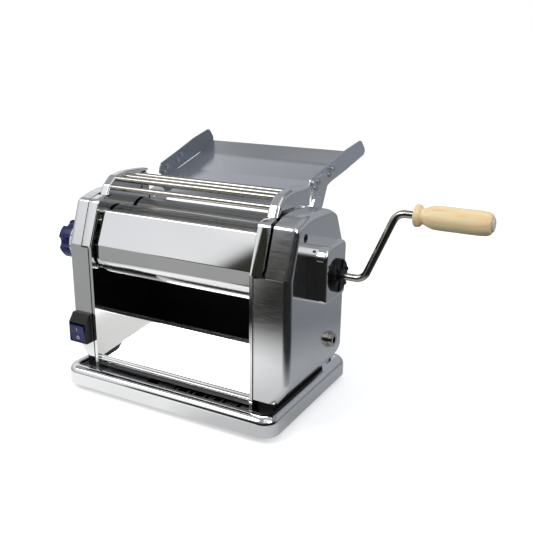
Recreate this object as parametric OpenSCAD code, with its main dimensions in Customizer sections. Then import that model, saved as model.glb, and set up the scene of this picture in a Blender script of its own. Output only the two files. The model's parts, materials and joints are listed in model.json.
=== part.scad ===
// Bench-top pasta sheeter: two steel rollers in a polished case, turned by a crank or a motor.
// Axes: X runs along the rollers towards the crank, Y from front to back, Z up.
// Modules draw with X = 0 midway between the side plates, Y = 0 on the front of the casings and
// Z = 0 on the floor of the base tray. on_bench() then moves them to the model's own origin,
// which is below the middle of the whole machine, on the surface that it stands on.

/* [Base tray] */
// How far the tray reaches past each side plate
tray_side = 41; // [35:1:52]
// Depth of the tray
tray_d = 216; // [206:1:240]
// Height from the tray's lower edge to its floor
tray_h = 15; // [12:0.5:22]
// How far the rolled rim stands above the tray's floor
rim_h = 8; // [5:0.5:11]
// How far the tray reaches in front of the casings
tray_front = 21.3; // [16:0.1:28]
// Corner radius of the tray, seen from above
tray_corner = 20; // [16:1:30]
// Radius of the rounded shoulder of the rim
shoulder_r = 9; // [6:0.5:9]
// Sheet thickness of the tray
tray_t = 1.6; // [1.2:0.1:2]
// Number of vent slots
slot_count = 49; // [11:2:51]
// Distance from one vent slot to the next
slot_pitch = 4; // [3.6:0.1:4]
// Length of a vent slot
slot_len = 8; // [5:0.5:8]

/* [Feet] */
// Diameter of a rubber foot at its top
foot_d = 26; // [20:1:30]
// Height of a rubber foot
foot_h = 8; // [6:0.5:14]
// Distance from the tray's edge to the centre of a foot
foot_inset = 25; // [22:1:32]

/* [Rollers] */
// Length of the roller barrels
roller_len = 220; // [212:1:230]
// Diameter of the rollers
roller_d = 48; // [46:0.2:48.6]
// Gap between the rollers at rest
roller_gap = 2.9; // [2.6:0.1:3.2]
// Height of the roller axes above the tray's floor
roller_z = 187; // [185:0.5:188]
// Distance from the casings' front to the rear roller's axis
rear_roller_y = 105; // [104:0.5:106]
// Diameter of the roller journals
journal_d = 20; // [16:0.5:22]
// Gap between a barrel's end and the side plate
end_gap = 3; // [2.6:0.1:4]

/* [Thickness setting] */
// Smallest gap between the rollers
gap_min = 0.2; // [0.2:0.1:0.5]
// Largest gap between the rollers
gap_max = 5; // [4:0.1:5]
// Turn of the knob from the smallest to the largest gap, in degrees
knob_turn = 270; // [240:10:280]
// Distance from the casings' front to the knob's axis
knob_y = 38; // [37:0.5:39]
// Height of the knob's axis above the tray's floor
knob_z = 160; // [159:0.5:160.5]
// Diameter of the numbered skirt
skirt_d = 60; // [54:1:64]
// Diameter over the lobes of the grip
knob_d = 50; // [44:1:52]
// How far the knob stands out from the left casing
knob_reach = 31; // [26:1:36]
// Number of lobes on the grip
knob_lobes = 5; // [4:1:7]
// Radius of the valleys between the lobes
valley_r = 8; // [6:0.5:9]
// Diameter of the cam shaft
cam_shaft_d = 8; // [7:0.5:9]
// Smallest radius of a snail cam
cam_r = 6.5; // [6.2:0.1:6.8]

/* [Frame and casings] */
// Thickness of the side plates
plate_t = 4; // [3:0.5:5]
// Gap between a side plate and the edge of its casing
casing_gap = 4; // [4:0.5:6]
// Width of the left casing
left_w = 30; // [28:1:34]
// Width of the right casing
right_w = 41.7; // [40:0.1:46]
// Wall thickness of the casings
casing_t = 2; // [1.5:0.1:2.5]
// Radius of the casings' outer edges
casing_edge = 8; // [5:0.5:9]
// Height of the casings' lower edge above the tray's floor
casing_foot = 18.5; // [14:0.5:22]
// Height of the crease where the front leans back
crease_z = 166.5; // [164:0.5:168]
// Room between the roller gears and the rear crease of the casings
rear_room = 19.8; // [19:0.2:24]
// Height of the top of the casings
top_z = 229; // [228:0.5:231]
// Width of the bright strip beside each casing
strip_w = 15; // [12:0.5:15]
// Width of the dark groove between strip and casing
groove_w = 5; // [4:0.5:6]
// Depth of that groove
groove_depth = 7; // [5:0.5:7]

/* [Covers] */
// Sheet thickness of the covers, chute and apron
sheet_t = 1.2; // [1:0.1:1.5]
// Gap between the front cover and each side plate
cover_gap = 3; // [1:0.5:5]
// Radius of the front cover's lower corners
cover_corner = 12; // [6:1:16]
// Diameter of the tie rods
rod_d = 8; // [7:0.5:8]

/* [Guard] */
// Diameter of the guard rods
guard_rod_d = 7; // [6:0.5:8]
// Wall thickness of the guard brackets
guard_t = 2.5; // [2:0.1:3]
// Height of the guard's top above the tray's floor
guard_z = 250; // [249:0.5:252]

/* [Hopper] */
// Angle by which each wing flares outwards
flare = 4.1; // [2:0.1:5]
// How far each wing's front end stands outside the face of its side plate
wing_step = 1.5; // [0.5:0.1:3]
// How far the wings start ahead of the casings' rear crease
wing_lap = 3.8; // [2:0.1:6]
// Distance from the casings' front to the hopper's rear edge
hopper_back = 300; // [280:1:310]
// Sheet thickness of the wings
wing_t = 1.5; // [1.2:0.1:2]
// Thickness of the lugs that carry the hopper
lug_t = 2.5; // [2:0.1:3]

/* [Crank] */
// Distance from the casings' front to the crank's axis
crank_y = 70; // [69.5:0.1:70.5]
// Height of the crank's axis above the tray's floor
crank_z = 160; // [159.8:0.1:160.2]
// Crank radius
crank_r = 79; // [70:1:84]
// Diameter of the crank rod
crank_rod_d = 8.3; // [7.5:0.1:9]
// Radius of the rod's bends, to its middle
crank_bend = 14; // [10:1:16]
// Length of the straight from the coupling disc to the first bend
crank_root = 31; // [26:1:36]
// How far the slanted arm runs along X
crank_slant = 34; // [28:1:40]
// Length of the wooden grip
grip_len = 80; // [70:1:90]
// Diameter of the wooden grip
grip_d = 25.5; // [22:0.5:28]
// Distance from the second bend to the grip
grip_start = 19; // [14:1:24]

/* [Gear train] */
// Module of the roller gears
roller_module = 3; // [2.9:0.05:3]
// Teeth of each roller gear
roller_teeth = 16; // [16:1:16]
// Module of the crank gears
crank_module = 1.5; // [1.45:0.01:1.5]
// Teeth of the crank pinion
pinion_teeth = 23; // [23:1:23]
// Teeth of the gear on the rear roller
crank_gear_teeth = 36; // [36:1:36]
// Face width of the gears
gear_w = 10; // [8:0.5:11]
// Diameter of the crank shaft
crank_shaft_d = 12; // [10:0.5:14]

/* [Gearbox housing] */
// How far the housing stands out from the right casing
box_reach = 24.3; // [20:0.1:28]
// Depth of the housing from front to back
box_d = 55; // [50:1:58]
// Height of the housing
box_h = 64.5; // [58:0.5:68]
// Diameter of the coupling disc
disc_d = 38.5; // [34:0.5:42]

/* [Motor drive] */
// Diameter of the motor
motor_d = 56; // [48:1:57]
// Length of the motor
motor_len = 140; // [110:1:150]
// Diameter of the pulley on the rear roller
pulley_d = 44; // [40:1:48]
// Diameter of the motor's pulley
motor_pulley_d = 22; // [18:1:26]
// Width of the belt
belt_w = 8; // [6:0.5:9]
// Thickness of the belt
belt_t = 3; // [2:0.1:3.5]

/* [Switch] */
// Width of the switch housing
switch_w = 27; // [24:0.5:28]
// Height of the switch housing
switch_h = 38; // [36:0.5:42]
// How far the housing stands out from the casing
switch_reach = 12; // [10:0.5:14]
// Turn of the rocker from off to on, in degrees
rocker_turn = 16; // [10:1:18]

/* [Fits] */
// Radial clearance of a turning shaft in its bore
running = 0.05; // [0.02:0.01:0.1]
// Gap between pieces that move past each other
moving_gap = 0.3; // [0.3:0.05:0.4]

/* [Hidden] */
$fn = 64;

// Places across the machine
plate_in = roller_len / 2 + end_gap;
tray_w = 2 * (plate_in + tray_side);
cover_w = 2 * (plate_in - cover_gap);
wing_front = plate_in + wing_step;
plate_out = plate_in + plate_t;
casing_in = plate_out + casing_gap;
left_out = casing_in + left_w;
right_out = casing_in + right_w;
strip_out = plate_in + strip_w;
groove_out = strip_out + groove_w;
arm_in = plate_out + moving_gap;
arm_out = arm_in + 4;
gear_in = arm_out + 0.7;
crank_gear_in = gear_in + gear_w + 3;

// Roller centres
front_roller_y = rear_roller_y - roller_d - roller_gap;
journal_r = journal_d / 2;
gear_seat_r = journal_r - 2;
bush_r = journal_r + 4;
gear_tip_r = roller_module * (roller_teeth / 2 + 1);
case_depth = rear_roller_y + gear_tip_r + rear_room;
wing_y = case_depth - wing_lap;

// Side view of a casing: each point holds y, z and the radius of its corner
shoulder = [19.5, top_z - 8];
rear_shoulder = [case_depth - 25.8, top_z - 11.4];
rear_crease_z = crease_z - 1.5;
function case_outline(foot, drop = 0) = [
    [0, foot, 4], [0, crease_z, 6], [shoulder[0], shoulder[1] - drop, 7],
    [48, top_z - drop, 60], [rear_shoulder[0] - 22, top_z - 1.6 - drop, 50],
    [rear_shoulder[0] - drop / 2, rear_shoulder[1] - drop, 9],
    [case_depth - drop / 2, rear_crease_z, 8], [case_depth - 2.8, foot, 4]];

// Front cover, chute and apron, seen from the side
cover_top = [23.4, shoulder[1] - 11.4];
cover_crease = [7, crease_z + 1.5];
cover_knee = [6.2, crease_z - 20.5];
cover_hem = [21, crease_z - 35.5];
cover_path = [[cover_top[0] + 9, cover_top[1] - 4, 0], [cover_top[0], cover_top[1], 3],
    [cover_crease[0], cover_crease[1], 2.5], [cover_knee[0], cover_knee[1], 16],
    [cover_hem[0], cover_hem[1], 0]];
chute_y = 3.5;
chute_crest = [46, 68.5];
panel_y = rear_roller_y + 12;
chute_back = [panel_y, 64];
chute_path = [[chute_y, 8, 0], [chute_y, 21.5, 3], [chute_crest[0], chute_crest[1], 12],
    [chute_back[0], chute_back[1], 0]];
apron_path = [[rear_roller_y + 7.5, roller_z + 27, 0], [rear_roller_y + 16, roller_z + 32, 8],
    [wing_y + 2, top_z - 1.4, 0]];
// How far the scrapers and their arms reach below the roller axes
scraper_drop = roller_d / 2 + 13;

// Tie rods
rod_r = rod_d / 2;
cover_lie = unit(cover_top - cover_crease);
hem_lie = unit(cover_hem - cover_knee);
seat_gap = sheet_t + rod_r + 0.3;
upper_rod = cover_top - 14 * cover_lie + seat_gap * [cover_lie[1], -cover_lie[0]];
lower_rod = cover_hem - 3 * hem_lie + seat_gap * [-hem_lie[1], hem_lie[0]];
TIE_RODS = [upper_rod, lower_rod, [22, 13], [case_depth - 11, roller_z - 30], [case_depth - 14, 14]];

// Thickness setting
cam_step = (gap_max - gap_min) / knob_turn;
cam_rest = cam_r + gap_max - roller_gap;
nose_r = 3;
nose_y = knob_y + cam_rest + nose_r + moving_gap;
block_half = journal_r + 4;
slide_back = roller_gap - gap_min;
slide_front = gap_max - roller_gap;

// Crank
crank_top = crank_z + crank_r;
box_out = right_out + box_reach;
box_front = crank_y - 31;
box_foot = crank_z - 27.5;
disc_out = box_out + moving_gap + 4;
bend_x = disc_out + crank_root - 4.3;
arm_x = bend_x + crank_slant;
grip_x = arm_x + grip_start;
grip_end = grip_x + grip_len;
grip_cup = grip_end - 11;
rod_end = grip_cup + moving_gap + 2.5;

// Guard
guard_pivot = [112, guard_z - 14];
ear_r = 7;
guard_pin_r = 2.5;
GUARD_RODS = [[45, guard_z - 16], [56, guard_z - 7], [74, guard_z - 7], [91, guard_z - 7]];
guard_foot = top_z - 4;
guard_top = [[36, guard_foot, 0], [42, guard_z - 13, 5], [54, guard_z - 3, 9], [75, guard_z, 20],
    [100, guard_z - 0.8, 20], [guard_pivot[0] + 8, guard_z - 2.2, 0]];

// Hopper
function from_lug(list) = [for (p = list) [wing_y + p[0], top_z + p[1], p[2]]];
wing_len = hopper_back - wing_y;
wing_profile = from_lug([[-6, 8, 3], [-2, 21, 6], [47, 34, 60], [89, 46, 60], [wing_len - 18, 55, 10],
    [wing_len, 36, 6], [wing_len - 40, 25, 60], [60, 13, 60], [12, 1, 3]]);
floor_path = from_lug([[0, 0.2, 0], [46, 9, 90], [wing_len - 50, 22, 120], [wing_len - 8, 36.5, 0]]);
lug_profile = from_lug([[1, -19, 0], [0.5, 18, 5], [12, 21.5, 5], [57, 24, 6], [58, 15.5, 2],
    [53, 14, 2], [37, 7.5, 3], [26, -17, 3], [18, -25, 3]]);
lug_foot = from_lug([[-22, -33, 3], [1, -3, 3], [22, -3, 3], [24, -15, 3], [-2, -57, 3], [-14, -57, 3]]);
LUG_SCREWS = [[wing_y + 6, top_z + 9], [wing_y + 13, top_z + 15.5]];
WING_RIVETS = [[wing_y + 41, top_z + 20.5], [wing_y + 50.5, top_z + 27]];

// Motor drive
motor_y = 92;
motor_z = motor_d / 2 + 5;
belt_x = arm_out + 3;
motor_shaft_r = 5;

// Whole machine
reach_left = left_out + knob_reach;
reach_right = grip_end + 2;
reach_back = hopper_back + 0.5;
origin_x = (reach_right - reach_left) / 2;
origin_y = (reach_back - tray_front) / 2;

// ---------- plain geometry ----------
function unit(v) = v / norm(v);

// Points of the arc that rounds the corner p between a and b
function corner(a, p, b, r, n) =
    r <= 0 ? [p] :
    let (u = unit(a - p), w = unit(b - p), half = acos(u * w) / 2,
         c = p + unit(u + w) * r / sin(half),
         s = p + u * r / tan(half) - c, e = p + w * r / tan(half) - c,
         a0 = atan2(s[1], s[0]), d = atan2(e[1], e[0]) - a0,
         turn = d > 180 ? d - 360 : d < -180 ? d + 360 : d)
    [for (i = [0:n]) c + r * [cos(a0 + turn * i / n), sin(a0 + turn * i / n)]];

function flat(p) = [p[0], p[1]];

// Closed outline with its corners rounded
function rounded(pts, n = 6) = let (m = len(pts))
    [for (i = [0:m - 1]) each corner(flat(pts[(i + m - 1) % m]), flat(pts[i]), flat(pts[(i + 1) % m]),
                                     pts[i][2], n)];

// Open line with its inner corners rounded
function rounded_line(pts, n = 6) = let (m = len(pts))
    [flat(pts[0]),
     for (i = [1:m - 2]) each corner(flat(pts[i - 1]), flat(pts[i]), flat(pts[i + 1]), pts[i][2], n),
     flat(pts[m - 1])];

// The same line moved sideways by d, to its left
function beside(line, d) = let (m = len(line))
    [for (i = [0:m - 1])
        let (before = unit(line[max(i, 1)] - line[max(i, 1) - 1]),
             after = unit(line[min(i, m - 2) + 1] - line[min(i, m - 2)]),
             n1 = [-before[1], before[0]], side = unit(n1 + [-after[1], after[0]]))
        line[i] + side * d / (side * n1)];

function backwards(list) = [for (i = [len(list) - 1:-1:0]) list[i]];

// Outline of a sheet that follows a line, with its thickness on the left of the line
function band(line, t) = concat(line, backwards(beside(line, t)));

module on_bench() {
    translate([-origin_x, -origin_y, foot_h + tray_h]) children();
}

// A side view, y and z, stretched across the machine from x0 to x1
module across(x0, x1) {
    translate([x0, 0, 0]) rotate([90, 0, 90]) linear_extrude(x1 - x0) children();
}

module sheet(line, t, x0, x1) {
    across(x0, x1) polygon(band(line, t));
}

// A round bar or hole along X
module bar(x0, x1, r, y, z) {
    translate([x0, y, z]) rotate([0, 90, 0]) cylinder(h = x1 - x0, r = r);
}

// A body turned about X, from its outline of x and radius
module turned(outline, y, z) {
    translate([0, y, z]) rotate([0, 90, 0]) rotate_extrude()
        polygon([for (p = outline) [p[1], p[0]]]);
}

module both_sides() {
    children();
    mirror([1, 0, 0]) children();
}

module rounded_rect(w, d, r) {
    square([w - 2 * r, d], center = true);
    square([w, d - 2 * r], center = true);
    for (x = [-1, 1], y = [-1, 1]) translate([x * (w / 2 - r), y * (d / 2 - r)]) circle(r);
}

// ---------- base ----------
tray_mid = tray_d / 2 - tray_front;
rim_in = tray_corner - shoulder_r - 3.5;

// A wall's side view swept round the tray, with x = 0 on the corners' centres
module round_tray() {
    hw = tray_w / 2 - tray_corner;
    hd = tray_d / 2 - tray_corner;
    for (i = [0:3]) {
        a = i * 90;
        p = [[hw, hd], [-hw, hd], [-hw, -hd], [hw, -hd]][i];
        translate([p[0], tray_mid + p[1], 0]) rotate([0, 0, a]) rotate_extrude(angle = 90) children();
        run = (i % 2 == 0) ? 2 * hd : 2 * hw;
        q = [[hw, -hd], [hw, hd], [-hw, hd], [-hw, -hd]][i];
        translate([q[0], tray_mid + q[1], 0]) rotate([0, 0, a])
            translate([0, run, 0]) rotate([90, 0, 0]) linear_extrude(run) children();
    }
}

function foot_places() =
    [for (x = [-1, 1], y = [-1, 1])
        [x * (tray_w / 2 - foot_inset), tray_mid + y * (tray_d / 2 - foot_inset)]];

module base_tray() color("silver") on_bench() {
    rim = rounded_line([[tray_corner, -tray_h, 0], [tray_corner, rim_h, shoulder_r],
        [rim_in, rim_h, 3], [rim_in, -tray_t, 0]]);
    round_tray() polygon(band(rim, tray_t));
    floor_w = tray_w - 2 * (tray_corner - rim_in) + tray_t;
    floor_d = tray_d - 2 * (tray_corner - rim_in) + tray_t;
    difference() {
        translate([0, tray_mid, -tray_t]) linear_extrude(tray_t)
            rounded_rect(floor_w, floor_d, rim_in + tray_t / 2);
        for (i = [0:slot_count - 1])
            translate([(i - (slot_count - 1) / 2) * slot_pitch, -tray_front + 30.5, 0])
                cube([2.2, slot_len, 4 * tray_t], center = true);
        for (p = foot_places()) translate([p[0], p[1], -2 * tray_t]) cylinder(h = 4 * tray_t, r = 2.6);
    }
}

module bottom_plate() color("dimgray") on_bench() difference() {
    plate = 1.5;
    union() {
        translate([0, tray_mid, -tray_h]) linear_extrude(plate)
            rounded_rect(tray_w - 2 * tray_t - 0.6, tray_d - 2 * tray_t - 0.6, tray_corner - tray_t - 0.3);
        for (p = foot_places()) translate([p[0], p[1], -tray_h]) cylinder(h = tray_h - tray_t, r = 7);
    }
    for (p = foot_places()) translate([p[0], p[1], -tray_h - 1]) cylinder(h = tray_h + 2, r = 2.6);
}

module rubber_feet() color([0.06, 0.06, 0.06]) on_bench()
    for (p = foot_places()) translate([p[0], p[1], -tray_h - foot_h]) rotate_extrude()
        polygon([[5.5, 0], [foot_d / 2 - 2.2, 0], [foot_d / 2 - 1.2, 1], [foot_d / 2, foot_h - 1.5],
                 [foot_d / 2 - 0.6, foot_h], [2.7, foot_h], [2.7, 4], [5.5, 4]]);

module foot_screws() color("gray") on_bench()
    for (p = foot_places()) translate([p[0], p[1], -tray_h - foot_h + 4]) {
        translate([0, 0, -2.6]) cylinder(h = 2.6, r = 4.6);
        cylinder(h = foot_h - 4 + tray_h, r = 2.5);
    }

// ---------- frame ----------
module plate_holes() {
    for (p = TIE_RODS) {
        bar(plate_in - 1, plate_out + 1, 2.6, p[0], p[1]);
        translate([plate_out - 2.4, p[0], p[1]]) rotate([0, 90, 0]) cylinder(h = 2.5, r1 = 2.6, r2 = 5.1);
    }
    bar(plate_in - 1, plate_out + 1, bush_r, rear_roller_y, roller_z);
    bar(plate_in - 1, plate_out + 1, cam_shaft_d / 2 + running, knob_y, knob_z);
    across(plate_in - 1, plate_out + 1)
        translate([front_roller_y - block_half - slide_front - 0.5, roller_z - block_half - moving_gap])
            square([2 * block_half + slide_front + slide_back + 1, 2 * (block_half + moving_gap)]);
    bar(plate_in - 1, plate_out + 1, guard_pin_r + running, guard_pivot[0], guard_pivot[1]);
}

module side_plate() difference() {
    union() {
        across(plate_in, plate_out) polygon(rounded(case_outline(0, 3)));
        // ear that the guard turns on
        across(plate_in, plate_out) {
            translate([guard_pivot[0] - ear_r, top_z - 20])
                square([2 * ear_r, guard_pivot[1] - top_z + 20]);
            translate(guard_pivot) circle(ear_r);
        }
        // bright strip up the sloping front and over the shoulder
        strip = rounded_line([[1, crease_z + 2.8, 0], [shoulder[0], shoulder[1], 7], [34, top_z - 4.2, 0]]);
        sheet(backwards(strip), 3, plate_in, strip_out);
    }
    plate_holes();
    // rounded lower corner of the strip
    translate([strip_out, -1, crease_z + 2]) rotate([-90, 0, 0]) difference() {
        translate([-6, -6, 0]) cube([7, 7, 8]);
        translate([-6, -6, -1]) cylinder(h = 10, r = 6);
    }
}

module right_side_plate() color("lightgray") on_bench() side_plate();

module left_side_plate() color("lightgray") on_bench() difference() {
    mirror([1, 0, 0]) side_plate();
    bar(-plate_out - 1, -plate_in + 1, motor_shaft_r + running, motor_y, motor_z);
}

// A casing's side view drawn in by inset, with its lower edge at foot
function casing_ring(inset, foot) =
    let (mid = [case_depth / 2, (top_z + foot - inset) / 2],
         scale_y = 1 - 2 * inset / case_depth,
         scale_z = (mid[1] - foot) / (mid[1] - foot + inset))
    [for (p = rounded(case_outline(foot - inset), 5))
        [mid[0] + (p[0] - mid[0]) * scale_y, mid[1] + (p[1] - mid[1]) * scale_z]];

// Side views of equal count, each at its own x, joined into one solid
module loft(xs, rings) {
    n = len(rings[0]);
    m = len(rings);
    sides = [for (k = [0:m - 2], i = [0:n - 1]) let (a = k * n + i, b = k * n + (i + 1) % n)
        each [[a, b, b + n], [a, b + n, a + n]]];
    polyhedron(points = [for (k = [0:m - 1], p = rings[k]) [xs[k], p[0], p[1]]],
               faces = concat([[for (i = [n - 1:-1:0]) i], [for (i = [0:n - 1]) (m - 1) * n + i]], sides));
}

// How far the lower outer edge leans in, and how high that lean reaches
casing_lean = 15;
casing_lean_h = 20.5;

// A solid casing drawn in by t all round, with its outer edges rounded
module casing_form(out, t, from) {
    foot = casing_foot + t;
    turns = [0:18:90];
    lean_x = out - casing_lean - t / 2;
    edge_x = [for (a = turns) out - casing_edge + (casing_edge - t) * sin(a)];
    edge_in = [for (a = turns) t + (casing_edge - t) * (1 - cos(a))];
    edge_foot = [for (x = edge_x) foot + casing_lean_h * (x - lean_x) / (out - lean_x)];
    loft(concat([from, lean_x], edge_x),
         concat([casing_ring(t, foot), casing_ring(t, foot)],
                [for (i = [0:len(edge_x) - 1]) casing_ring(edge_in[i], edge_foot[i])]));
}

// The groove up the sloping front and along the top, grown by the thickness of its own wall
module groove_cut(grow) {
    front = [-0.65, crease_z - 1.8];
    arch = [rear_shoulder[0] - 22, top_z - 1.6];
    line = [front - grow * unit(shoulder - front), shoulder, [48, top_z], arch,
        rear_shoulder + (grow - 2) * unit(rear_shoulder - arch)];
    across(casing_in - 1.5, groove_out + grow)
        polygon(concat(beside(line, 12), backwards(beside(line, -groove_depth - grow))));
}

module casing(out) difference() {
    casing_form(out, 0, casing_in);
    groove_cut(0);
    // hollow, open towards the side plate
    difference() {
        casing_form(out, casing_t, casing_in - 1);
        groove_cut(casing_t);
    }
}

module left_casing() color("silver") on_bench() difference() {
    mirror([1, 0, 0]) casing(left_out);
    bar(-left_out - 1, -left_out + 12, cam_shaft_d / 2 + 1, knob_y, knob_z);
    bar(-left_out - 1, -left_out + 12, screw_cup, casing_screw[0], casing_screw[1]);
}

module right_casing() color("silver") on_bench() difference() {
    casing(right_out);
    bar(right_out - 12, right_out + 1, crank_shaft_d / 2 + 4.3, crank_y, crank_z);
    bar(right_out - 12, right_out + 1, gland_r - 2, gland_y, gland_z);
    bar(right_out - 12, right_out + 1, screw_cup, casing_screw[0], casing_screw[1]);
    bar(right_out - 12, right_out + 1, set_screw_r + 0.1, set_screw[0], set_screw[1]);
}

module casing_plinths() color([0.08, 0.08, 0.09]) on_bench() {
    rim_wall = tray_w / 2 - tray_corner + rim_in;
    for (s = [[1, right_out], [-1, left_out]]) {
        w = min(rim_wall - 1, s[1] - casing_lean) - casing_in;
        translate([s[0] > 0 ? casing_in : -casing_in - w, 7, 0]) cube([w, case_depth - 18, casing_foot]);
    }
}

casing_screw = [36, top_z - 22];
screw_cup = 5;
clip_out = left_out - casing_t - 3;
clip_t = 2.5;
// Small screw that holds the right casing below the crank
set_screw = [crank_y + 38, crank_z - 29];
set_screw_r = 1.5;

module casing_clips() color("gray") on_bench() both_sides() {
    y = casing_screw[0];
    z = casing_screw[1];
    translate([plate_out, y - 9, z + 2.3]) cube([clip_out - plate_out, 8, clip_t]);
    difference() {
        translate([clip_out - clip_t, y - 9, z - 9]) cube([clip_t, 15, 11.3 + clip_t]);
        bar(clip_out - 4, clip_out + 1, 2.1, y, z);
    }
}

module casing_screw_at(out) {
    y = casing_screw[0];
    z = casing_screw[1];
    bar(clip_out - 5, out - 3, 2, y, z);
    difference() {
        bar(out - 3, out - 0.6, screw_cup - 0.3, y, z);
        translate([out - 1.8, y, z]) rotate([0, 90, 0]) cylinder(h = 3, r = 2.3, $fn = 6);
    }
}

module casing_screws() color("gray") on_bench() {
    casing_screw_at(right_out);
    mirror([1, 0, 0]) casing_screw_at(left_out);
    bar(right_out - 7, right_out, set_screw_r, set_screw[0], set_screw[1]);
    turned([[right_out, 0], [right_out, 2.8], [right_out + 0.5, 2.8], [right_out + 1.2, 2], [right_out + 1.2, 0]],
           set_screw[0], set_screw[1]);
}

module tie_rods() color("darkgray") on_bench() for (p = TIE_RODS) difference() {
    bar(-plate_in, plate_in, rod_r, p[0], p[1]);
    for (s = [-1, 1]) bar(s > 0 ? plate_in - 12 : -plate_in - 1, s > 0 ? plate_in + 1 : -plate_in + 12,
                          2.55, p[0], p[1]);
}

module tie_screws() color("gray") on_bench() both_sides() for (p = TIE_RODS) {
    bar(plate_in - 10, plate_out - 2.4, 2.5, p[0], p[1]);
    translate([plate_out - 2.4, p[0], p[1]]) rotate([0, 90, 0]) cylinder(h = 2.4, r1 = 2.5, r2 = 4.9);
}

// ---------- covers ----------
module front_cover() color("silver") on_bench() difference() {
    line = rounded_line(cover_path, 8);
    sheet(line, sheet_t, -cover_w / 2, cover_w / 2);
    r = cover_corner;
    for (s = [-1, 1]) translate([s * (cover_w / 2 - r), -1, cover_hem[1] + r]) rotate([-90, 0, 0])
        difference() {
            translate([s > 0 ? 0 : -r - 2, 0, 0]) cube([r + 2, r + 4, 40]);
            translate([0, 0, -1]) cylinder(h = 42, r = r);
        }
}

module delivery_chute() color("silver") on_bench()
    sheet(backwards(rounded_line(chute_path, 8)), sheet_t, -plate_in, plate_in);

panel_foot = chute_back[1] - 14;

module back_panel() color([0.05, 0.05, 0.05]) on_bench()
    translate([-plate_in, panel_y, panel_foot]) cube([2 * plate_in, 1.5, roller_z - scraper_drop - panel_foot]);

// Upright slots that let the motor's warm air out
vent_w = 3;
vent_h = 34;
vent_z = 70;
vent_pitch = 8;
vents_each_side = 7;

module rear_cover() color("silver") on_bench() difference() {
    line = [[rear_shoulder[0] - 1, rear_shoulder[1] - 12], [case_depth - 3, rear_crease_z],
        [case_depth - 4.5, 0]];
    sheet(backwards(line), sheet_t, -plate_in, plate_in);
    for (i = [-vents_each_side:vents_each_side])
        translate([i * vent_pitch, case_depth - 4, vent_z]) cube([vent_w, 12, vent_h], center = true);
}

module feed_apron() color("silver") on_bench() {
    line = rounded_line(apron_path, 6);
    sheet(backwards(line), sheet_t, -plate_in, plate_in);
    both_sides() across(plate_in - sheet_t, plate_in)
        polygon([[rear_roller_y + 13, roller_z + 29], [wing_y, top_z - 3], [wing_y - 20, roller_z + 22],
                 [rear_roller_y + 14, roller_z + 20]]);
}

// A strip that clears a roller's surface, leaning by angle a from straight down
module scraper(y, a, x) {
    across(-x, x) translate([y, roller_z]) rotate(a)
        translate([-0.75, -roller_d / 2 - moving_gap - 10]) square([1.5, 10]);
}

module rear_scraper() color("gray") on_bench() scraper(rear_roller_y, 28, plate_in);

// ---------- rollers ----------
module roller(y) {
    bar(-roller_len / 2, roller_len / 2, roller_d / 2, y, roller_z);
}

module roller_bushes() color([0.72, 0.53, 0.25]) on_bench() both_sides() difference() {
    union() {
        bar(plate_in, plate_out, bush_r, rear_roller_y, roller_z);
        bar(plate_out, arm_out, bush_r + 3, rear_roller_y, roller_z);
    }
    bar(plate_in - 1, arm_out + 1, journal_r + running, rear_roller_y, roller_z);
}

module rear_roller() color("silver") on_bench() {
    roller(rear_roller_y);
    bar(-arm_out, arm_out + 0.2, journal_r, rear_roller_y, roller_z);
    bar(-belt_x - belt_w - 4, crank_gear_in + gear_w + 1, gear_seat_r, rear_roller_y, roller_z);
}

// Involute tooth gear, as a flat outline; tooth 0 points along +x
function involute(rb, t) = rb * [cos(t) + t * PI / 180 * sin(t), sin(t) - t * PI / 180 * cos(t)];

module gear_outline(m, teeth, slack) {
    pr = m * teeth / 2;
    rb = pr * cos(20);
    tip = pr + m;
    root = pr - 1.2 * m;
    t_of = function (r) sqrt(max(0, pow(r / rb, 2) - 1)) * 180 / PI;
    lie = function (t) t - atan(t * PI / 180);
    half = 90 / teeth + lie(t_of(pr)) - slack / pr * 90 / PI;
    start = max(rb, root + 0.01);
    flank = [for (i = [0:4]) let (r = start + (tip - start) * i / 4, t = t_of(r), a = half - lie(t))
        [r, a]];
    foot = [[root, min(half, 180 / teeth - 1)]];
    side = concat(foot, flank);
    polygon([for (k = [0:teeth - 1]) each concat(
        [for (p = side) p[0] * [cos(k * 360 / teeth - p[1]), sin(k * 360 / teeth - p[1])]],
        [for (p = backwards(side)) p[0] * [cos(k * 360 / teeth + p[1]), sin(k * 360 / teeth + p[1])]])]);
}

module gear(m, teeth, turn, x, y, z, bore) {
    difference() {
        across(x, x + gear_w) translate([y, z]) rotate(turn) gear_outline(m, teeth, 0.4);
        bar(x - 1, x + gear_w + 1, bore, y, z);
    }
}

module rear_roller_gear() color("gray") on_bench()
    gear(roller_module, roller_teeth, 180 / roller_teeth, gear_in, rear_roller_y, roller_z,
         gear_seat_r + running);

module front_roller_gear() color("gray") on_bench()
    gear(roller_module, roller_teeth, 0, gear_in, front_roller_y, roller_z, gear_seat_r + running);

crank_line = atan2(roller_z - crank_z, rear_roller_y - crank_y);

module crank_gear() color("gray") on_bench()
    gear(crank_module, crank_gear_teeth, crank_line + 180 + 180 / crank_gear_teeth, crank_gear_in,
         rear_roller_y, roller_z, gear_seat_r + running);

module crank_pinion() color("gray") on_bench()
    gear(crank_module, pinion_teeth, crank_line, crank_gear_in, crank_y, crank_z,
         crank_shaft_d / 2 + running);

module front_roller() color("silver") on_bench() {
    roller(front_roller_y);
    bar(-arm_out, arm_out + 0.2, journal_r, front_roller_y, roller_z);
    bar(arm_out, gear_in + gear_w + 0.5, gear_seat_r, front_roller_y, roller_z);
}

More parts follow.
